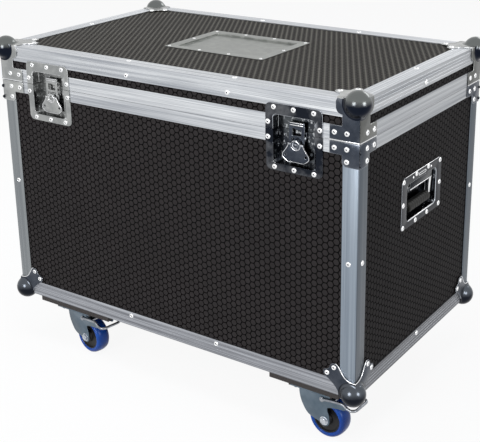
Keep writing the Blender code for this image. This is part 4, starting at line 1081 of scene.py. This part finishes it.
# The lower dish lies on the rail above and on the panel below, with a step between
def latchLower():
    s, half, wide, lip = latch["sheet"], latch["pocket"], latch["half"], latch["lip"]
    step, back = -latch["rail"] - gap, -latch["panelBack"]
    corner, pocket = latch["corner"], latch["pocketCorner"]
    rail = blockPiece("overRail", (-wide, wide), (step - s, -gap), (gap, gap + s))
    foot = platePiece("onPanel", rounded((-wide, wide), (-latch["drop"], step - s / 2), (corner, corner, 0, 0)),
                      back, back + s)
    joggle = blockPiece("joggle", (-wide, wide), (step - s, step), (back, gap + s))
    tub = platePiece("tub", rounded((-half - s, half + s), (-latch["pocketDrop"] - s, -gap), (pocket, pocket, 0, 0)),
                     -latch["depth"] - s, gap + s / 2)
    hollow = platePiece("hollow", rounded((-half, half), (-latch["pocketDrop"], 0.01),
                                          (pocket - s, pocket - s, 0, 0)),
                        -latch["depth"], 0.01)
    dish = cut(united("dish", [rail, foot, joggle, tub]), hollow)
    for face in (gap + s, back + s):
        roundEdges(dish, mouthEdges(half, -0.07, -0.001, face), latch["mouth"])
    softenEdges(dish, 0.0003, 1)
    guides = []
    for side in (-1, 1):
        x = sorted((side * guide["x"], side * (guide["x"] + guide["width"])))
        guides.append(blockPiece("guide", x, (-guide["length"], -gap * 2),
                                 (-latch["depth"] - s / 2, -latch["depth"] + guide["high"]), edge=0.0004))
    # The flange takes the dark, shaded, mottled copy of the zinc, the pocket a copy with painted reflection specks
    paintedFaces(dish, "steelMottled", "pocketDark",
                 lambda centre: centre.z < -0.0022 and abs(centre.x) < half + 0.0002)
    # Painted highlight: a bright wire round the pocket's mouth
    rim = rounded((-half - lip, half + lip), (-latch["pocketDrop"] - lip, 0.05), (pocket, pocket, 0, 0))
    ring = [(x, y, back + s if y < -latch["rail"] else gap + s) for x, y in rim if y < -gap * 4]
    ring = painted(wirePiece("mouthLip", ring, lip, sides=2), "bright")
    return together("latchLower", [dish, ring, *paintedAll(guides, "steelDark")])


# The upper dish sits on the lid and holds the keeper
def latchUpper():
    s, half, wide = latch["sheet"], latch["pocket"], latch["half"]
    corner, pocket = latch["corner"], latch["pocketCorner"]
    flange = platePiece("flange", rounded((-wide, wide), (gap, latch["rise"]), (0, 0, corner, corner)), gap, gap + s)
    tub = platePiece("tub", rounded((-half - s, half + s), (gap, latch["pocketRise"] + s), (0, 0, pocket, pocket)),
                     -latch["depth"] - s, gap + s / 2)
    hollow = platePiece("hollow", rounded((-half, half), (-0.01, latch["pocketRise"]),
                                          (0, 0, pocket - s, pocket - s)),
                        -latch["depth"], 0.01)
    dish = cut(united("dish", [flange, tub]), hollow)
    roundEdges(dish, mouthEdges(half, 0.001, 0.04, gap + s), latch["mouth"])
    softenEdges(dish, 0.0003, 1)
    hook = blockPiece("keeper", (-keeper["half"], keeper["half"]), (keeper["low"], keeper["high"]),
                      (-latch["depth"] - s / 2, -keeper["face"]), edge=0.0004)
    # The flange takes the dark, shaded, mottled copy of the zinc, the pocket a copy with painted reflection specks
    paintedFaces(dish, "steelMottled", "pocketDark",
                 lambda centre: centre.z < -0.0010 and abs(centre.x) < half + 0.0002)
    return together("latchUpper", [dish, painted(hook, "steelDark")])


camShape = {"drop": 0.023, "base": 0.012, "baseThick": 0.0020, "eccentric": 0.006, "throw": 0.004,
            "boss": 0.009, "back": 0.0080, "front": 0.0030, "pin": 0.0058, "pinBore": 0.0018}


# The cam: a base, an eccentric that drives the tongue, and a slotted boss in front
def latchCam():
    c = camShape
    low = -latch["depth"] + gap
    base = spunPiece("camBase", [(0, low), (c["base"], low), (c["base"], low + c["baseThick"] * 0.6),
                                 (c["base"] - 0.0006, low + c["baseThick"]), (0, low + c["baseThick"])], steps=48)
    lobe = barPiece("camLobe", c["eccentric"], (0, c["throw"], low + 0.0006), (0, c["throw"], -c["back"] + gap),
                    sides=40)
    r, back, front = c["boss"], -c["back"], -c["front"]
    boss = spunPiece("camBoss", [(0, back), (r, back), (r, front - 0.0014), (r * 0.93, front - 0.0004),
                                 (r * 0.80, front), (r * 0.62, front - 0.0002), (r * 0.52, front - 0.0012),
                                 (0, front - 0.0014)], steps=48)
    bore = barPiece("camBore", c["pinBore"], (-r * 2, 0, -c["pin"]), (r * 2, 0, -c["pin"]))
    slot = blockPiece("camSlot", (-0.0011, 0.0011), (-r * 0.42, r * 0.42), (front - 0.0020, 0))
    # Painted highlight: two bright arcs on the boss's face
    highlightArcs = []
    for start, end in ((20, 130), (205, 310)):
        route = [(x, y, front - 0.0001) for x, y in arc((0, 0), r * 0.84, start, end, 12)]
        highlightArcs.append(wirePiece("camRim", route, 0.0006, sides=2))
    steel = paintedAll([base, lobe, cut(boss, bore, slot)], "steelDark")
    return together("latchCam", [*steel, *paintedAll(highlightArcs, "bright")])


wing = {"radius": 0.0350, "length": 0.031, "half": 0.0265, "shoulder": 0.015, "top": 0.0020, "thick": 0.0016,
        "pin": 0.0015, "hole": 0.0024, "boss": 0.0096}


# The wing: a leaf with two flared ends and two holes, folding on a pin through the boss
def latchWing():
    w = wing
    foot = math.degrees(math.acos(w["length"] / w["radius"]))
    cheek = math.degrees(math.asin(w["half"] / w["radius"]))
    flare = w["length"] * 0.60
    right = [*arc((0, 0), w["radius"], foot - 90, cheek - 90, 5), (w["half"], -flare * 1.05),
             (w["half"] * 0.985, -flare * 0.93), (w["half"] * 0.80, -flare * 0.62),
             (w["shoulder"] * 1.12, -flare * 0.28), (w["shoulder"] * 1.01, -flare * 0.10), (w["shoulder"], w["top"])]
    start = math.degrees(math.asin(w["top"] / w["boss"]))
    cup = arc((0, 0), w["boss"], start, -180 - start, 22)
    outline = [*right, *cup, *[(-x, y) for x, y in reversed(right)]]
    half = w["thick"] / 2
    leaf = platePiece("wingLeaf", outline, -half, half)
    holes = [barPiece("hole", w["hole"], (side * w["half"] * 0.74, -flare, -0.01),
                      (side * w["half"] * 0.74, -flare, 0.01), sides=16) for side in (-1, 1)]
    cut(leaf, *holes)
    softenEdges(leaf, 0.00045, 2)
    pin = barPiece("wingPin", w["pin"], (-w["shoulder"] + half, 0, 0), (w["shoulder"] - half, 0, 0), 0.0003)
    # Painted highlight: a bright bead just inside the wing's outline
    bead = wirePiece("wingBead", [(x * 0.965, y * 0.975, half - 0.0002) for x, y in outline], 0.0006, closed=True,
                     sides=2)
    return together("latchWing", [*paintedAll([leaf, pin], "steelDark"), painted(bead, "bright")])


tongue = {"half": 0.015, "lip": 0.0023, "plate": 0.0015, "bead": 0.0010, "windowHalf": 0.0106,
          "windowReach": 0.0072, "foot": 0.0035, "lift": 0.0027}


# The tongue: a plate with a window for the eccentric, and a lip that hooks over the keeper
def latchTongue():
    g = tongue
    back = -latch["depth"] + gap * 2 + camShape["baseThick"]
    front = back + g["plate"]
    low = keeper["high"] + 0.0004
    top = low + g["lip"]
    middle = -camShape["drop"] - camShape["throw"]
    foot = middle - g["windowReach"] - g["foot"]
    body = platePiece("tonguePlate", rounded((-g["half"], g["half"]), (foot, top), (g["foot"], g["foot"], 0, 0)),
                      back, front)
    window = platePiece("window", rounded((-g["windowHalf"], g["windowHalf"]),
                                          (middle - g["windowReach"], middle + g["windowReach"]), 0.002), back * 2, 0)
    slotLow = middle + g["windowReach"] + g["foot"]
    slot = platePiece("slot", rounded((-g["half"] * 0.6, g["half"] * 0.6), (slotLow, -g["foot"]), 0.0015),
                      back * 2, 0)
    cut(body, window, slot)
    softenEdges(body, 0.0003, 2)
    lip = blockPiece("lip", (-keeper["half"], keeper["half"]), (low, top), (back - g["lip"], back + g["plate"] / 2),
                     edge=0.0004)
    # Painted highlight: two bright bars across the tongue
    beads = [barPiece("bead", g["bead"], (-keeper["half"], y, front), (keeper["half"], y, front), 0.0005, 16)
             for y in (top - g["bead"], top - g["bead"] - 0.0037)]
    return together("latchTongue", [*paintedAll([body, lip], "steelDark"), *paintedAll(beads, "bright")])


def makeLatches():
    shapes = [latchLower(), latchUpper(), latchCam(), latchWing(), latchTongue()]
    released = offsetBy(0, camShape["throw"] * 2, tongue["lift"])
    for name in ("left", "right"):
        low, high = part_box("latch_dish_lower_" + name)
        place = frontFrame((low.x + high.x) / 2, seamZ)
        axis = place @ offsetBy(0, -camShape["drop"], 0)
        folded = axis @ offsetBy(0, 0, -camShape["pin"])
        rows = (("latchDish_lower_", place, "case", "latch_dish_lower_"),
                ("latchDish_upper_", place, "lid", "latch_dish_upper_"),
                ("latchCam_", axis, "latch_cam_" + name, "latch_cam_"),
                ("latchWing_", folded, "latch_wing_" + name, "latch_wing_"),
                ("latchTongue_", place @ released, "latch_tongue_" + name, "latch_tongue_"))
        for shape, (title, where, body, node) in zip(shapes, rows):
            piece = paler(copied(shape, title + name, where), name)
            done(piece, None, body, [node + name])
        out = gap + latch["sheet"]
        rivetRow("rivets_latchUpper_" + name, "lid", [spot(place, x, y, out) for x, y in latchRivets])
        low = [spot(place, x, y, out) for x, y in latchRivetsLow]
        low += [spot(place, x, y, -gap) for x, y in latchRivetsFoot]
        rivetRow("rivets_latchLower_" + name, "case", low)
    discard(*shapes)


makeLatches()
print("latches made")

handle = {"half": 0.080, "tall": 0.04925, "corner": 0.008, "sheet": 0.0012, "back": 0.0015, "pocket": 0.059,
          "cupLow": 0.037, "cupHigh": 0.032, "depth": 0.022, "cupCorner": 0.010, "hingeRise": 0.024,
          "hingeSink": 0.0085, "bore": 0.0039, "wall": 0.0022, "clip": 0.022, "mouth": 0.0014}
handleTrim = {"pips": (-0.036, 0.036), "pipRise": 0.0405, "slot": ((-0.014, 0.014), (0.0375, 0.0415)),
              "slotCorner": 0.0018, "slotLip": 0.0006, "apronLow": 0.0185, "apron": (-0.0034, -0.0022),
              "hem": 0.0009, "sill": 0.0011, "topLine": 0.0007}
bail = {"rod": 0.0035, "half": 0.050, "grip": 0.0095, "gripHalf": 0.041, "drop": 0.018, "turn": 0.006,
        "ribs": 9}
handleRivets = mm([(-73.5, 42), (73.5, 42), (-24, 44), (24, 44), (-74, -1), (74, -1),
                   (-73.5, -43.5), (73.5, -43.5), (-23.5, -44), (23.5, -44)])


# A flange with chamfered upper corners, a cup, the clip that holds the hinge rod, and trim
def handleDish():
    h, s, trim = handle, handle["sheet"], handleTrim
    c = h["corner"]
    chamfered = [(-h["half"] + c, -h["tall"]), *arc((h["half"] - c, -h["tall"] + c), c, -90, 0, 6),
                 (h["half"], h["tall"] - c * 1.1), (h["half"] - c * 1.1, h["tall"]),
                 (-h["half"] + c * 1.1, h["tall"]), (-h["half"], h["tall"] - c * 1.1),
                 *arc((-h["half"] + c, -h["tall"] + c), c, 180, 270, 6)[:-1]]
    face = -h["back"] + s
    flange = platePiece("flange", chamfered, -h["back"], face)
    pocket = h["pocket"]
    cup = platePiece("cup", rounded((-pocket - s, pocket + s), (-h["cupLow"] - s, h["cupHigh"] + s), h["cupCorner"]),
                     -h["depth"] - s, face - s / 2)
    hollow = platePiece("hollow", rounded((-pocket, pocket), (-h["cupLow"], h["cupHigh"]), h["cupCorner"] - s),
                        -h["depth"], 0.01)
    dish = cut(united("dish", [flange, cup]), hollow)
    roundEdges(dish, mouthEdges(pocket, -0.0375, 0.0375, face), h["mouth"])
    softenEdges(dish, 0.0003, 1)
    jaw = h["bore"] + h["wall"]
    rise, sink = h["hingeRise"], h["hingeSink"]
    clip = platePiece("clip", [(rise - jaw * 0.6, -h["depth"] - s / 2), (rise - jaw, -h["depth"] * 0.7),
                               (rise - jaw, -sink), *arc((rise, -sink), jaw, 180, 60, 8),
                               (h["cupHigh"] + s / 2, -sink + jaw * 0.55),
                               (h["cupHigh"] + s / 2, -h["depth"] - s / 2)], -h["clip"], h["clip"],
                      Matrix(((0, 0, 1, 0), (1, 0, 0, 0), (0, 1, 0, 0), (0, 0, 0, 1))))
    cut(clip, barPiece("bore", h["bore"], (-0.1, rise, -sink), (0.1, rise, -sink), sides=32))
    softenEdges(clip, 0.0005, 2)
    profile = [(0, -0.0004), (0.0028, -0.0004), (0.0019, 0.0006), (0, 0.0009)]
    pips = [spunPiece("pip", profile, offsetBy(x, trim["pipRise"], face), 16) for x in trim["pips"]]
    slot = wirePiece("slotLip", [(*point, face) for point in rounded(*trim["slot"], trim["slotCorner"])],
                     trim["slotLip"], closed=True)
    inner = bail["half"] - 0.006
    apron = blockPiece("apron", (-inner, inner), (trim["apronLow"], h["cupHigh"] + s / 2), trim["apron"], edge=0.0004)
    hem = barAcross("hem", trim["hem"], inner, trim["apronLow"] + 0.0002, -0.0026, 0.0004, 12)
    sill = barAcross("sill", trim["sill"], pocket - 0.008, -h["cupLow"] + 0.0005, face - 0.0008, 0.0005, 12)
    topLine = barAcross("topLine", trim["topLine"], h["half"] - 0.012, h["tall"] - 0.0006, face, 0.0003, 10)
    # Painted light: the flange, clip and apron take the darkest, shaded copy of the zinc, the cup a copy with painted
    # reflection specks
    paintedFaces(dish, "steelCup", "cup", lambda centre: centre.z < -0.0030)
    # Painted highlight: bright pips, slot lip, hem, sill and top line on the dish
    bright = paintedAll([*pips, slot, hem, sill, topLine], "bright")
    return together("handleDish", [dish, *paintedAll([clip, apron], "steelCup"), *bright])


# The middle of the grip, down along the dish and inwards from the hinge
def gripMiddle():
    return handle["hingeRise"] + bail["drop"], -handle["depth"] + bail["grip"] + handle["sheet"] + handle["hingeSink"]


def handleBail():
    drop, sink = gripMiddle()
    path = rounded((-bail["half"], bail["half"]), (-drop, 0), bail["turn"])
    route = [(x, y, sink * min(max(-y / drop, 0), 1)) for x, y in path]
    return wirePiece("bailRod", route, bail["rod"], closed=True, sides=5)


def handleGrip():
    b, (drop, sink) = bail, gripMiddle()
    r, half = b["grip"], b["gripHalf"]
    profile = [(b["rod"], -half), (r * 0.8, -half), (r * 0.97, -half + 0.0012), (r, -half + 0.003)]
    for index in range(1, b["ribs"]):
        x = -half + 0.003 + (half * 2 - 0.006) * index / b["ribs"]
        profile += [(r, x - 0.0011), (r * 0.955, x - 0.0005), (r * 0.955, x + 0.0005), (r, x + 0.0011)]
    profile += [(r, half - 0.003), (r * 0.97, half - 0.0012), (r * 0.8, half), (b["rod"], half)]
    place = offsetBy(0, -drop, sink) @ rotatedBy(90, "Y")
    return spunPiece("bailGrip", profile, place, 40)


def makeHandles():
    dish, rod, grip = handleDish(), handleBail(), handleGrip()
    for name, side in (("left", -1), ("right", 1)):
        low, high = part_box("handle_dish_" + name)
        place = endFrame(side, (low.z + high.z) / 2)
        hinge = place @ offsetBy(0, handle["hingeRise"], -handle["hingeSink"])
        body = "handle_bail_" + name
        placed(dish, "handleDish_" + name, place, None, "case", ["handle_dish_" + name])
        placed(rod, "handleRod_" + name, hinge, "steelPale", body, [body])
        placed(grip, "handleGrip_" + name, hinge, "grip", body)
        rivetRow("rivets_handle_" + name, "case", [spot(place, x, y, -gap) for x, y in handleRivets])
    discard(dish, rod, grip)


makeHandles()
print("handles made")

label = {"half": (0.1135, 0.0845), "inner": (0.0955, 0.0665), "sink": 0.0030, "sheet": 0.0010, "skin": 0.0018,
         "rivet": 0.0030}
labelRivets = mm([(x, y) for x in (-106, -34, 34, 106) for y in (-77.5, 77.5)] + [(-106, 0), (106, 0)])


def makeLabel():
    (wide, deep), (inWide, inDeep), s = label["half"], label["inner"], label["sheet"]
    face = -label["skin"] + gap
    flange = platePiece("flange", rounded((-wide, wide), (-deep, deep), 0.004), face, face + s)
    tray = platePiece("tray", rounded((-inWide - s, inWide + s), (-inDeep - s, inDeep + s), 0.004),
                      face - label["sink"] - s, face + s / 2)
    hollow = platePiece("hollow", rounded((-inWide, inWide), (-inDeep, inDeep), 0.003), face - label["sink"], 0.01)
    dish = cut(united("dish", [flange, tray]), hollow)
    roundEdges(dish, mouthEdges(inWide, -inDeep - 0.0004, inDeep + 0.0004, face + s), 0.0009)
    softenEdges(dish, 0.00025, 1)
    carried(dish, topFrame(0, 0))
    dish.name = "labelDish"
    clear = 0.0012
    paintedFaces(dish, "label", "labelFrame",
                 lambda centre: abs(centre.x) > inWide + clear or abs(centre.y) > inDeep + clear)
    done(dish, None, "lid", ["label_dish"])
    small = Matrix.Scale(label["rivet"] / rivet["radius"], 4)
    rivetRow("rivets_label", "lid", [spot(topFrame(x, y), 0, 0, face + s) @ small for x, y in labelRivets])


makeLabel()

hinge = {"half": 0.045, "out": 0.0050, "knuckle": 0.0040, "centre": 0.0157, "pin": 0.0016, "bore": 0.0020,
         "leafGap": 0.0045, "leaf": 0.0165, "sheet": 0.0015, "rivets": (-0.035, 0, 0.035), "rivetRise": 0.0145}


def hingeLeaf(up, knuckles):
    h = hinge
    y = sorted((up * h["leafGap"], up * (h["leafGap"] + h["leaf"])))
    radii = (0.003, 0.003, 0, 0) if up < 0 else (0, 0, 0.003, 0.003)
    parts = [platePiece("leaf", rounded((-h["half"], h["half"]), y, radii), gap, gap + h["sheet"], edge=0.0004)]
    for start, end in knuckles:
        roll = barPiece("knuckle", h["knuckle"], (start, 0, h["out"]), (end, 0, h["out"]), 0.0004, 32)
        tab = blockPiece("tab", (start, end), sorted((up * 0.0006, up * (h["leafGap"] + h["sheet"]))),
                         (gap + h["sheet"] * 0.3, gap + h["sheet"] * 1.15))
        parts += [roll, tab]
    return parts


def makeHinges():
    h = hinge
    clear = h["centre"] + gap
    pin = barPiece("pin", h["pin"], (-h["half"], 0, h["out"]), (h["half"], 0, h["out"]), 0.0003)
    base = together("hingeBase", [*hingeLeaf(-1, [(-h["half"], -clear), (clear, h["half"])]), pin])
    bore = barPiece("bore", h["bore"], (-0.1, 0, h["out"]), (0.1, 0, h["out"]))
    leaf, roll, tab = hingeLeaf(1, [(-h["centre"], h["centre"])])
    lid = together("hingeLid", [leaf, tab, cut(roll, bore)])
    for name in ("left", "right"):
        low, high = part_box("hinge_leaf_base_" + name)
        place, out, rise = backFrame((low.x + high.x) / 2, seamZ), gap + h["sheet"], h["rivetRise"]
        placed(base, "hingeLower_" + name, place, "steelPale", "case", ["hinge_leaf_base_" + name])
        placed(lid, "hingeUpper_" + name, place, "steelPale", "lid", ["hinge_leaf_lid_" + name])
        rivetRow("rivets_hingeLower_" + name, "case", [spot(place, x, -rise, out) for x in h["rivets"]])
        rivetRow("rivets_hingeUpper_" + name, "lid", [spot(place, x, rise, out) for x in h["rivets"]])
    discard(base, lid)


makeHinges()
print("label dish and hinges made")

caster = {"height": 0.097, "plate": 0.0025, "plateLength": 0.088, "plateWidth": 0.066, "trail": 0.024,
          "radius": 0.0375, "width": 0.031, "gap": 0.0025, "sheet": 0.0022, "half": 0.030, "eye": 0.0110,
          "nose": 0.038, "noseDrop": 0.0165, "race": 0.024, "raceHigh": 0.0057, "axle": 0.0040,
          "bolt": 0.0070, "boltHead": 0.0042, "core": 0.0270, "hub": 0.0105, "plateBolts": (0.034, 0.0235),
          "swivelHole": 0.0064, "plateGrown": 0.0001}
pedal = {"x": 0.020, "z": 0.080, "reach": 0.068, "rise": 0.0055, "drop": 0.001, "rod": 0.0027, "bend": 0.009,
         "eye": 0.0048, "eyeWide": 0.0030, "pin": 0.0025, "shoe": (-0.006, 0.022), "shoeHalf": 0.015,
         "shoeHigh": (-0.0026, 0.0010)}
uprightPlate = Matrix(((1, 0, 0, 0), (0, 0, -1, 0), (0, 1, 0, 0), (0, 0, 0, 1)))


# Two cheeks from a crown down to the axle, with the swivel's race over them
def casterFork():
    c = caster
    inner = c["width"] / 2 + c["gap"]
    outer = inner + c["sheet"]
    top = c["height"] - c["plate"] - gap - c["raceHigh"]
    half, eye, axle = c["half"], c["eye"], (c["trail"], c["radius"])
    nose, chin = half + c["nose"], top - c["noseDrop"]
    heel = smoothed([(-half, top - 0.004), (-half + eye * 0.1, top * 0.84), (-half + eye * 0.55, top * 0.66),
                     (-half + eye * 1.8, top * 0.45), (axle[0] - eye * 0.86, axle[1] - eye * 0.5)], 4, closed=False)
    front = smoothed([(axle[0] + eye, axle[1]), (axle[0] + eye * 0.9, axle[1] + eye),
                      (axle[0] + eye * 0.55, axle[1] + eye * 2), (axle[0] + eye * 0.8, chin - eye * 0.55),
                      (nose - eye * 1.3, chin - eye * 0.12), (nose - eye * 0.25, chin), (nose, chin + eye * 0.4),
                      (nose - eye * 0.5, top - c["noseDrop"] * 0.35), (half + 0.002, top - 0.002)],
                     4, closed=False)
    outline = [(half, top), (-half + 0.003, top), *heel, *arc(axle, eye, 222, 350, 10), *front]
    cheeks = [platePiece("cheek", outline, low, low + c["sheet"], uprightPlate, edge=0.0006)
              for low in (-outer, inner)]
    crown = platePiece("crown", rounded((-half, half), (-outer, outer), 0.006), top - c["sheet"], top + 0.0002,
                       edge=0.0005)
    r = c["race"]
    race = spunPiece("race", [(0, top - 0.001), (r, top - 0.001), (r, top + 0.0012), (r * 0.93, top + 0.0022),
                              (r * 0.90, top + c["raceHigh"] * 0.75), (r * 0.84, top + c["raceHigh"]),
                              (0, top + c["raceHigh"])], steps=48)
    under = spunPiece("kingNut", [(0, top - c["sheet"]), (0.009, top - c["sheet"]), (0.009, top - 0.0065),
                                  (0.0078, top - 0.008), (0, top - 0.008)], steps=24)
    pin = barPiece("kingPin", 0.006, (0, 0, top), (0, 0, top + c["raceHigh"] + 0.004), 0.0008)
    shaft = barPiece("axle", c["axle"], (axle[0], -outer, axle[1]), (axle[0], outer, axle[1]))
    shine = []
    for end in (-1, 1):
        washer = barPiece("washer", c["bolt"] * 1.2, (axle[0], end * (outer - 0.0004), axle[1]),
                          (axle[0], end * (outer + 0.0011), axle[1]), 0.0003, 32)
        nut = barPiece("nut", c["bolt"], (axle[0], end * (outer + 0.0010), axle[1]),
                       (axle[0], end * (outer + c["boltHead"]), axle[1]), 0.0005, 6)
        shine += [washer, nut]
    steel = paintedAll([*cheeks, crown, race, under, pin, shaft], "fork")
    return together("casterFork", [*steel, *paintedAll(shine, "nut")])


def casterTyre():
    c = caster
    half, r, core = c["width"] / 2, c["radius"], c["core"]
    right = [(core, half * 0.80), (core + 0.0015, half * 0.93), (core + 0.004, half * 0.985),
             (r - 0.0045, half * 0.93), (r - 0.0022, half * 0.80), (r - 0.0009, half * 0.58), (r - 0.0002, half * 0.30)]
    profile = [*right, (r, 0), *[(radius, -y) for radius, y in reversed(right)]]
    return spunPiece("casterTyre", profile, steps=72)


# The nylon wheel inside the tyre: hub, thin web and rim
def casterCore():
    c = caster
    half, core, hub = c["width"] / 2, c["core"], c["hub"]
    bore, web = c["axle"] + 0.0004, half * 0.55
    side = [(bore, half), (hub - 0.0008, half), (hub, half - 0.0008), (hub + 0.0015, web + 0.001), (hub + 0.003, web),
            (core - 0.0045, web), (core - 0.003, web + 0.001), (core - 0.0018, half * 0.83),
            (core - 0.0001, half * 0.86)]
    profile = [*side, *[(radius, -y) for radius, y in reversed(side)]]
    return spunPiece("casterCore", profile, steps=64)


# A bent rod outside the fork, on a pin that carries the shoe over the tyre
def brakePedal():
    c, p = caster, pedal
    inner = c["width"] / 2 + c["gap"] + c["sheet"] + gap
    outer, reach, low, bend = inner + p["eyeWide"], p["reach"], -p["drop"], p["bend"]
    y = inner + p["rod"]
    side = [(0.001, y, 0), (0.012, y, p["rise"] * 0.55), (reach * 0.50, y, p["rise"]), (reach * 0.66, y, p["rise"]),
            (reach * 0.76, y, p["rise"] * 0.25), (reach - bend, y, low)]
    corner = [(x, across, low) for x, across in arc((reach - bend, y - bend), bend, 90, 0, 8)]
    side = smoothed(side, 4, closed=False) + corner[1:]
    bail = wirePiece("pedalRod", side + [(x, -y, z) for x, y, z in reversed(side)], p["rod"], sides=4)
    eyes = [barPiece("eye", p["eye"], (0, end * inner, 0), (0, end * outer, 0), 0.0006, 28) for end in (-1, 1)]
    heads = [barPiece("pinHead", p["pin"] * 1.3, (0, end * (outer - 0.0002), 0),
                      (0, end * (outer + 0.0014), 0), 0.0006, 24) for end in (-1, 1)]
    pin = barPiece("pedalPin", p["pin"], (0, -outer, 0), (0, outer, 0))
    shoe = blockPiece("shoe", p["shoe"], (-p["shoeHalf"], p["shoeHalf"]), p["shoeHigh"], edge=0.0006)
    return together("brakePedal", [bail, *eyes, *heads, pin, shoe])


# The fixed plate under the board, with four nuts and studs
def casterPlate():
    c = caster
    length, width, high, grown = c["plateLength"] / 2, c["plateWidth"] / 2, c["height"], c["plateGrown"]
    sheet = platePiece("plate", rounded((-length - grown, length + grown), (-width - grown, width + grown), 0.004),
                       high - c["plate"] - grown, high - grown, edge=0.0005)
    cut(sheet, barPiece("hole", c["swivelHole"], (0, 0, 0), (0, 0, 0.2), sides=32))
    parts = [sheet]
    across, along = c["plateBolts"]
    low = high - c["plate"]
    for x in (-across, across):
        for y in (-along, along):
            parts.append(barPiece("nut", 0.0055, (x, y, low + 0.0002), (x, y, low - 0.0042), 0.0005, 6))
            parts.append(barPiece("stud", 0.0030, (x, y, low), (x, y, low - 0.0060), 0.0005, 16))
    return together("casterPlate", parts)


def makeCasters():
    fork, tyre, core, foot, plate = casterFork(), casterTyre(), casterCore(), brakePedal(), casterPlate()
    joints = {joint["name"]: joint for joint in frame["joints"]}
    for name in ("front_left", "front_right", "rear_left", "rear_right"):
        swivel = Vector(joints["swivel_" + name]["pos_m"])
        axle = Vector(joints["spin_" + name]["pos_m"])
        turn = math.atan2(axle.y - swivel.y, axle.x - swivel.x)
        place = offsetBy(swivel.x, swivel.y, 0) @ Matrix.Rotation(turn, 4, "Z")
        body = "swivel_" + name
        placed(fork, "casterFork_" + name, place, None, body, ["caster_fork_" + name])
        spin = place @ offsetBy(caster["trail"], 0, caster["radius"]) @ rotatedBy(90, "X")
        placed(tyre, "casterTyre_" + name, spin, "tyre", "wheel_" + name, ["caster_wheel_" + name], 50)
        placed(core, "casterCore_" + name, spin, "core", "wheel_" + name, (), 40)
        placed(plate, "casterPlate_" + name, offsetBy(swivel.x, swivel.y, 0), "fork", "case")
        if name.startswith("front_"):
            side = name.split("_")[1]
            pivot = place @ offsetBy(pedal["x"], 0, pedal["z"])
            placed(foot, "brakePedal_" + side, pivot, "bail", "brake_" + side,
                   ["brake_pedal_" + side])
    for side in ("left", "right"):
        dressNode("caster_board_" + side, "board")
    discard(fork, tyre, core, foot, plate)


makeCasters()
print("casters made")

foam = {"edge": 0.004, "clear": 0.0006, "wall": 0.020, "floor": 0.020, "padEdge": 0.008, "room": 0.0015,
        "latchSide": 0.0128, "latchUnder": 0.0100, "handleSide": 0.0175, "handleUnder": 0.009, "handleOver": 0.0140}
divider = {"thick": 0.016, "edge": 0.0030}


# Foam is laid inside the boxes that its nodes hold
def makeFoam():
    low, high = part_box("foam_liner")
    wall, floorThick, clear, room = foam["wall"], foam["floor"], foam["clear"], foam["room"]
    latchSide, latchUnder, handleSide = foam["latchSide"], foam["latchUnder"], foam["handleSide"]
    liner = blockPiece("liner", (low.x + clear, high.x - clear), (low.y + clear, high.y - clear),
                       (low.z + clear, high.z - clear))
    cutters = [blockPiece("hollow", (low.x + wall, high.x - wall), (low.y + wall, high.y - wall),
                          (low.z + floorThick, high.z + 0.1))]
    for name, side in (("left", -1), ("right", 1)):
        a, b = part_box("latch_dish_lower_" + name)
        cutters.append(blockPiece("notch", (a.x + latchSide, b.x - latchSide), (a.y - 0.05, b.y + room),
                                  (a.z + latchUnder, high.z + 0.1)))
        a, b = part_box("handle_dish_" + name)
        x = (a.x - 0.05, b.x + room) if side < 0 else (a.x - room, b.x + 0.05)
        cutters.append(blockPiece("notch", x, (a.y + handleSide, b.y - handleSide),
                                  (a.z + foam["handleUnder"], b.z - foam["handleOver"])))
    cut(liner, *cutters)
    softenEdges(liner, foam["edge"], 3, 60)
    liner.name = "foamLiner"
    done(liner, "foam", "case", ["foam_liner"], 60)
    low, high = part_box("lid_foam")
    pad = blockPiece("lidPad", (low.x, high.x), (low.y, high.y), (low.z, high.z))
    softenEdges(pad, foam["padEdge"], 4)
    pad.name = "lidPad"
    done(pad, "foam", "lid", ["lid_foam"], 60)


# One cross of two boards makes the four compartments
def makeDividers():
    low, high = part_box("divider_lattice")
    half = divider["thick"] / 2
    boards = [blockPiece("board", (low.x, high.x), (-half, half), (low.z, high.z)),
              blockPiece("board", (-half, half), (low.y, high.y), (low.z, high.z))]
    lattice = united("dividers", boards)
    softenEdges(lattice, divider["edge"], 3)
    done(lattice, "felt", "case", ["divider_lattice"])


makeFoam()
makeDividers()
discard(head)
print("foam and dividers made")
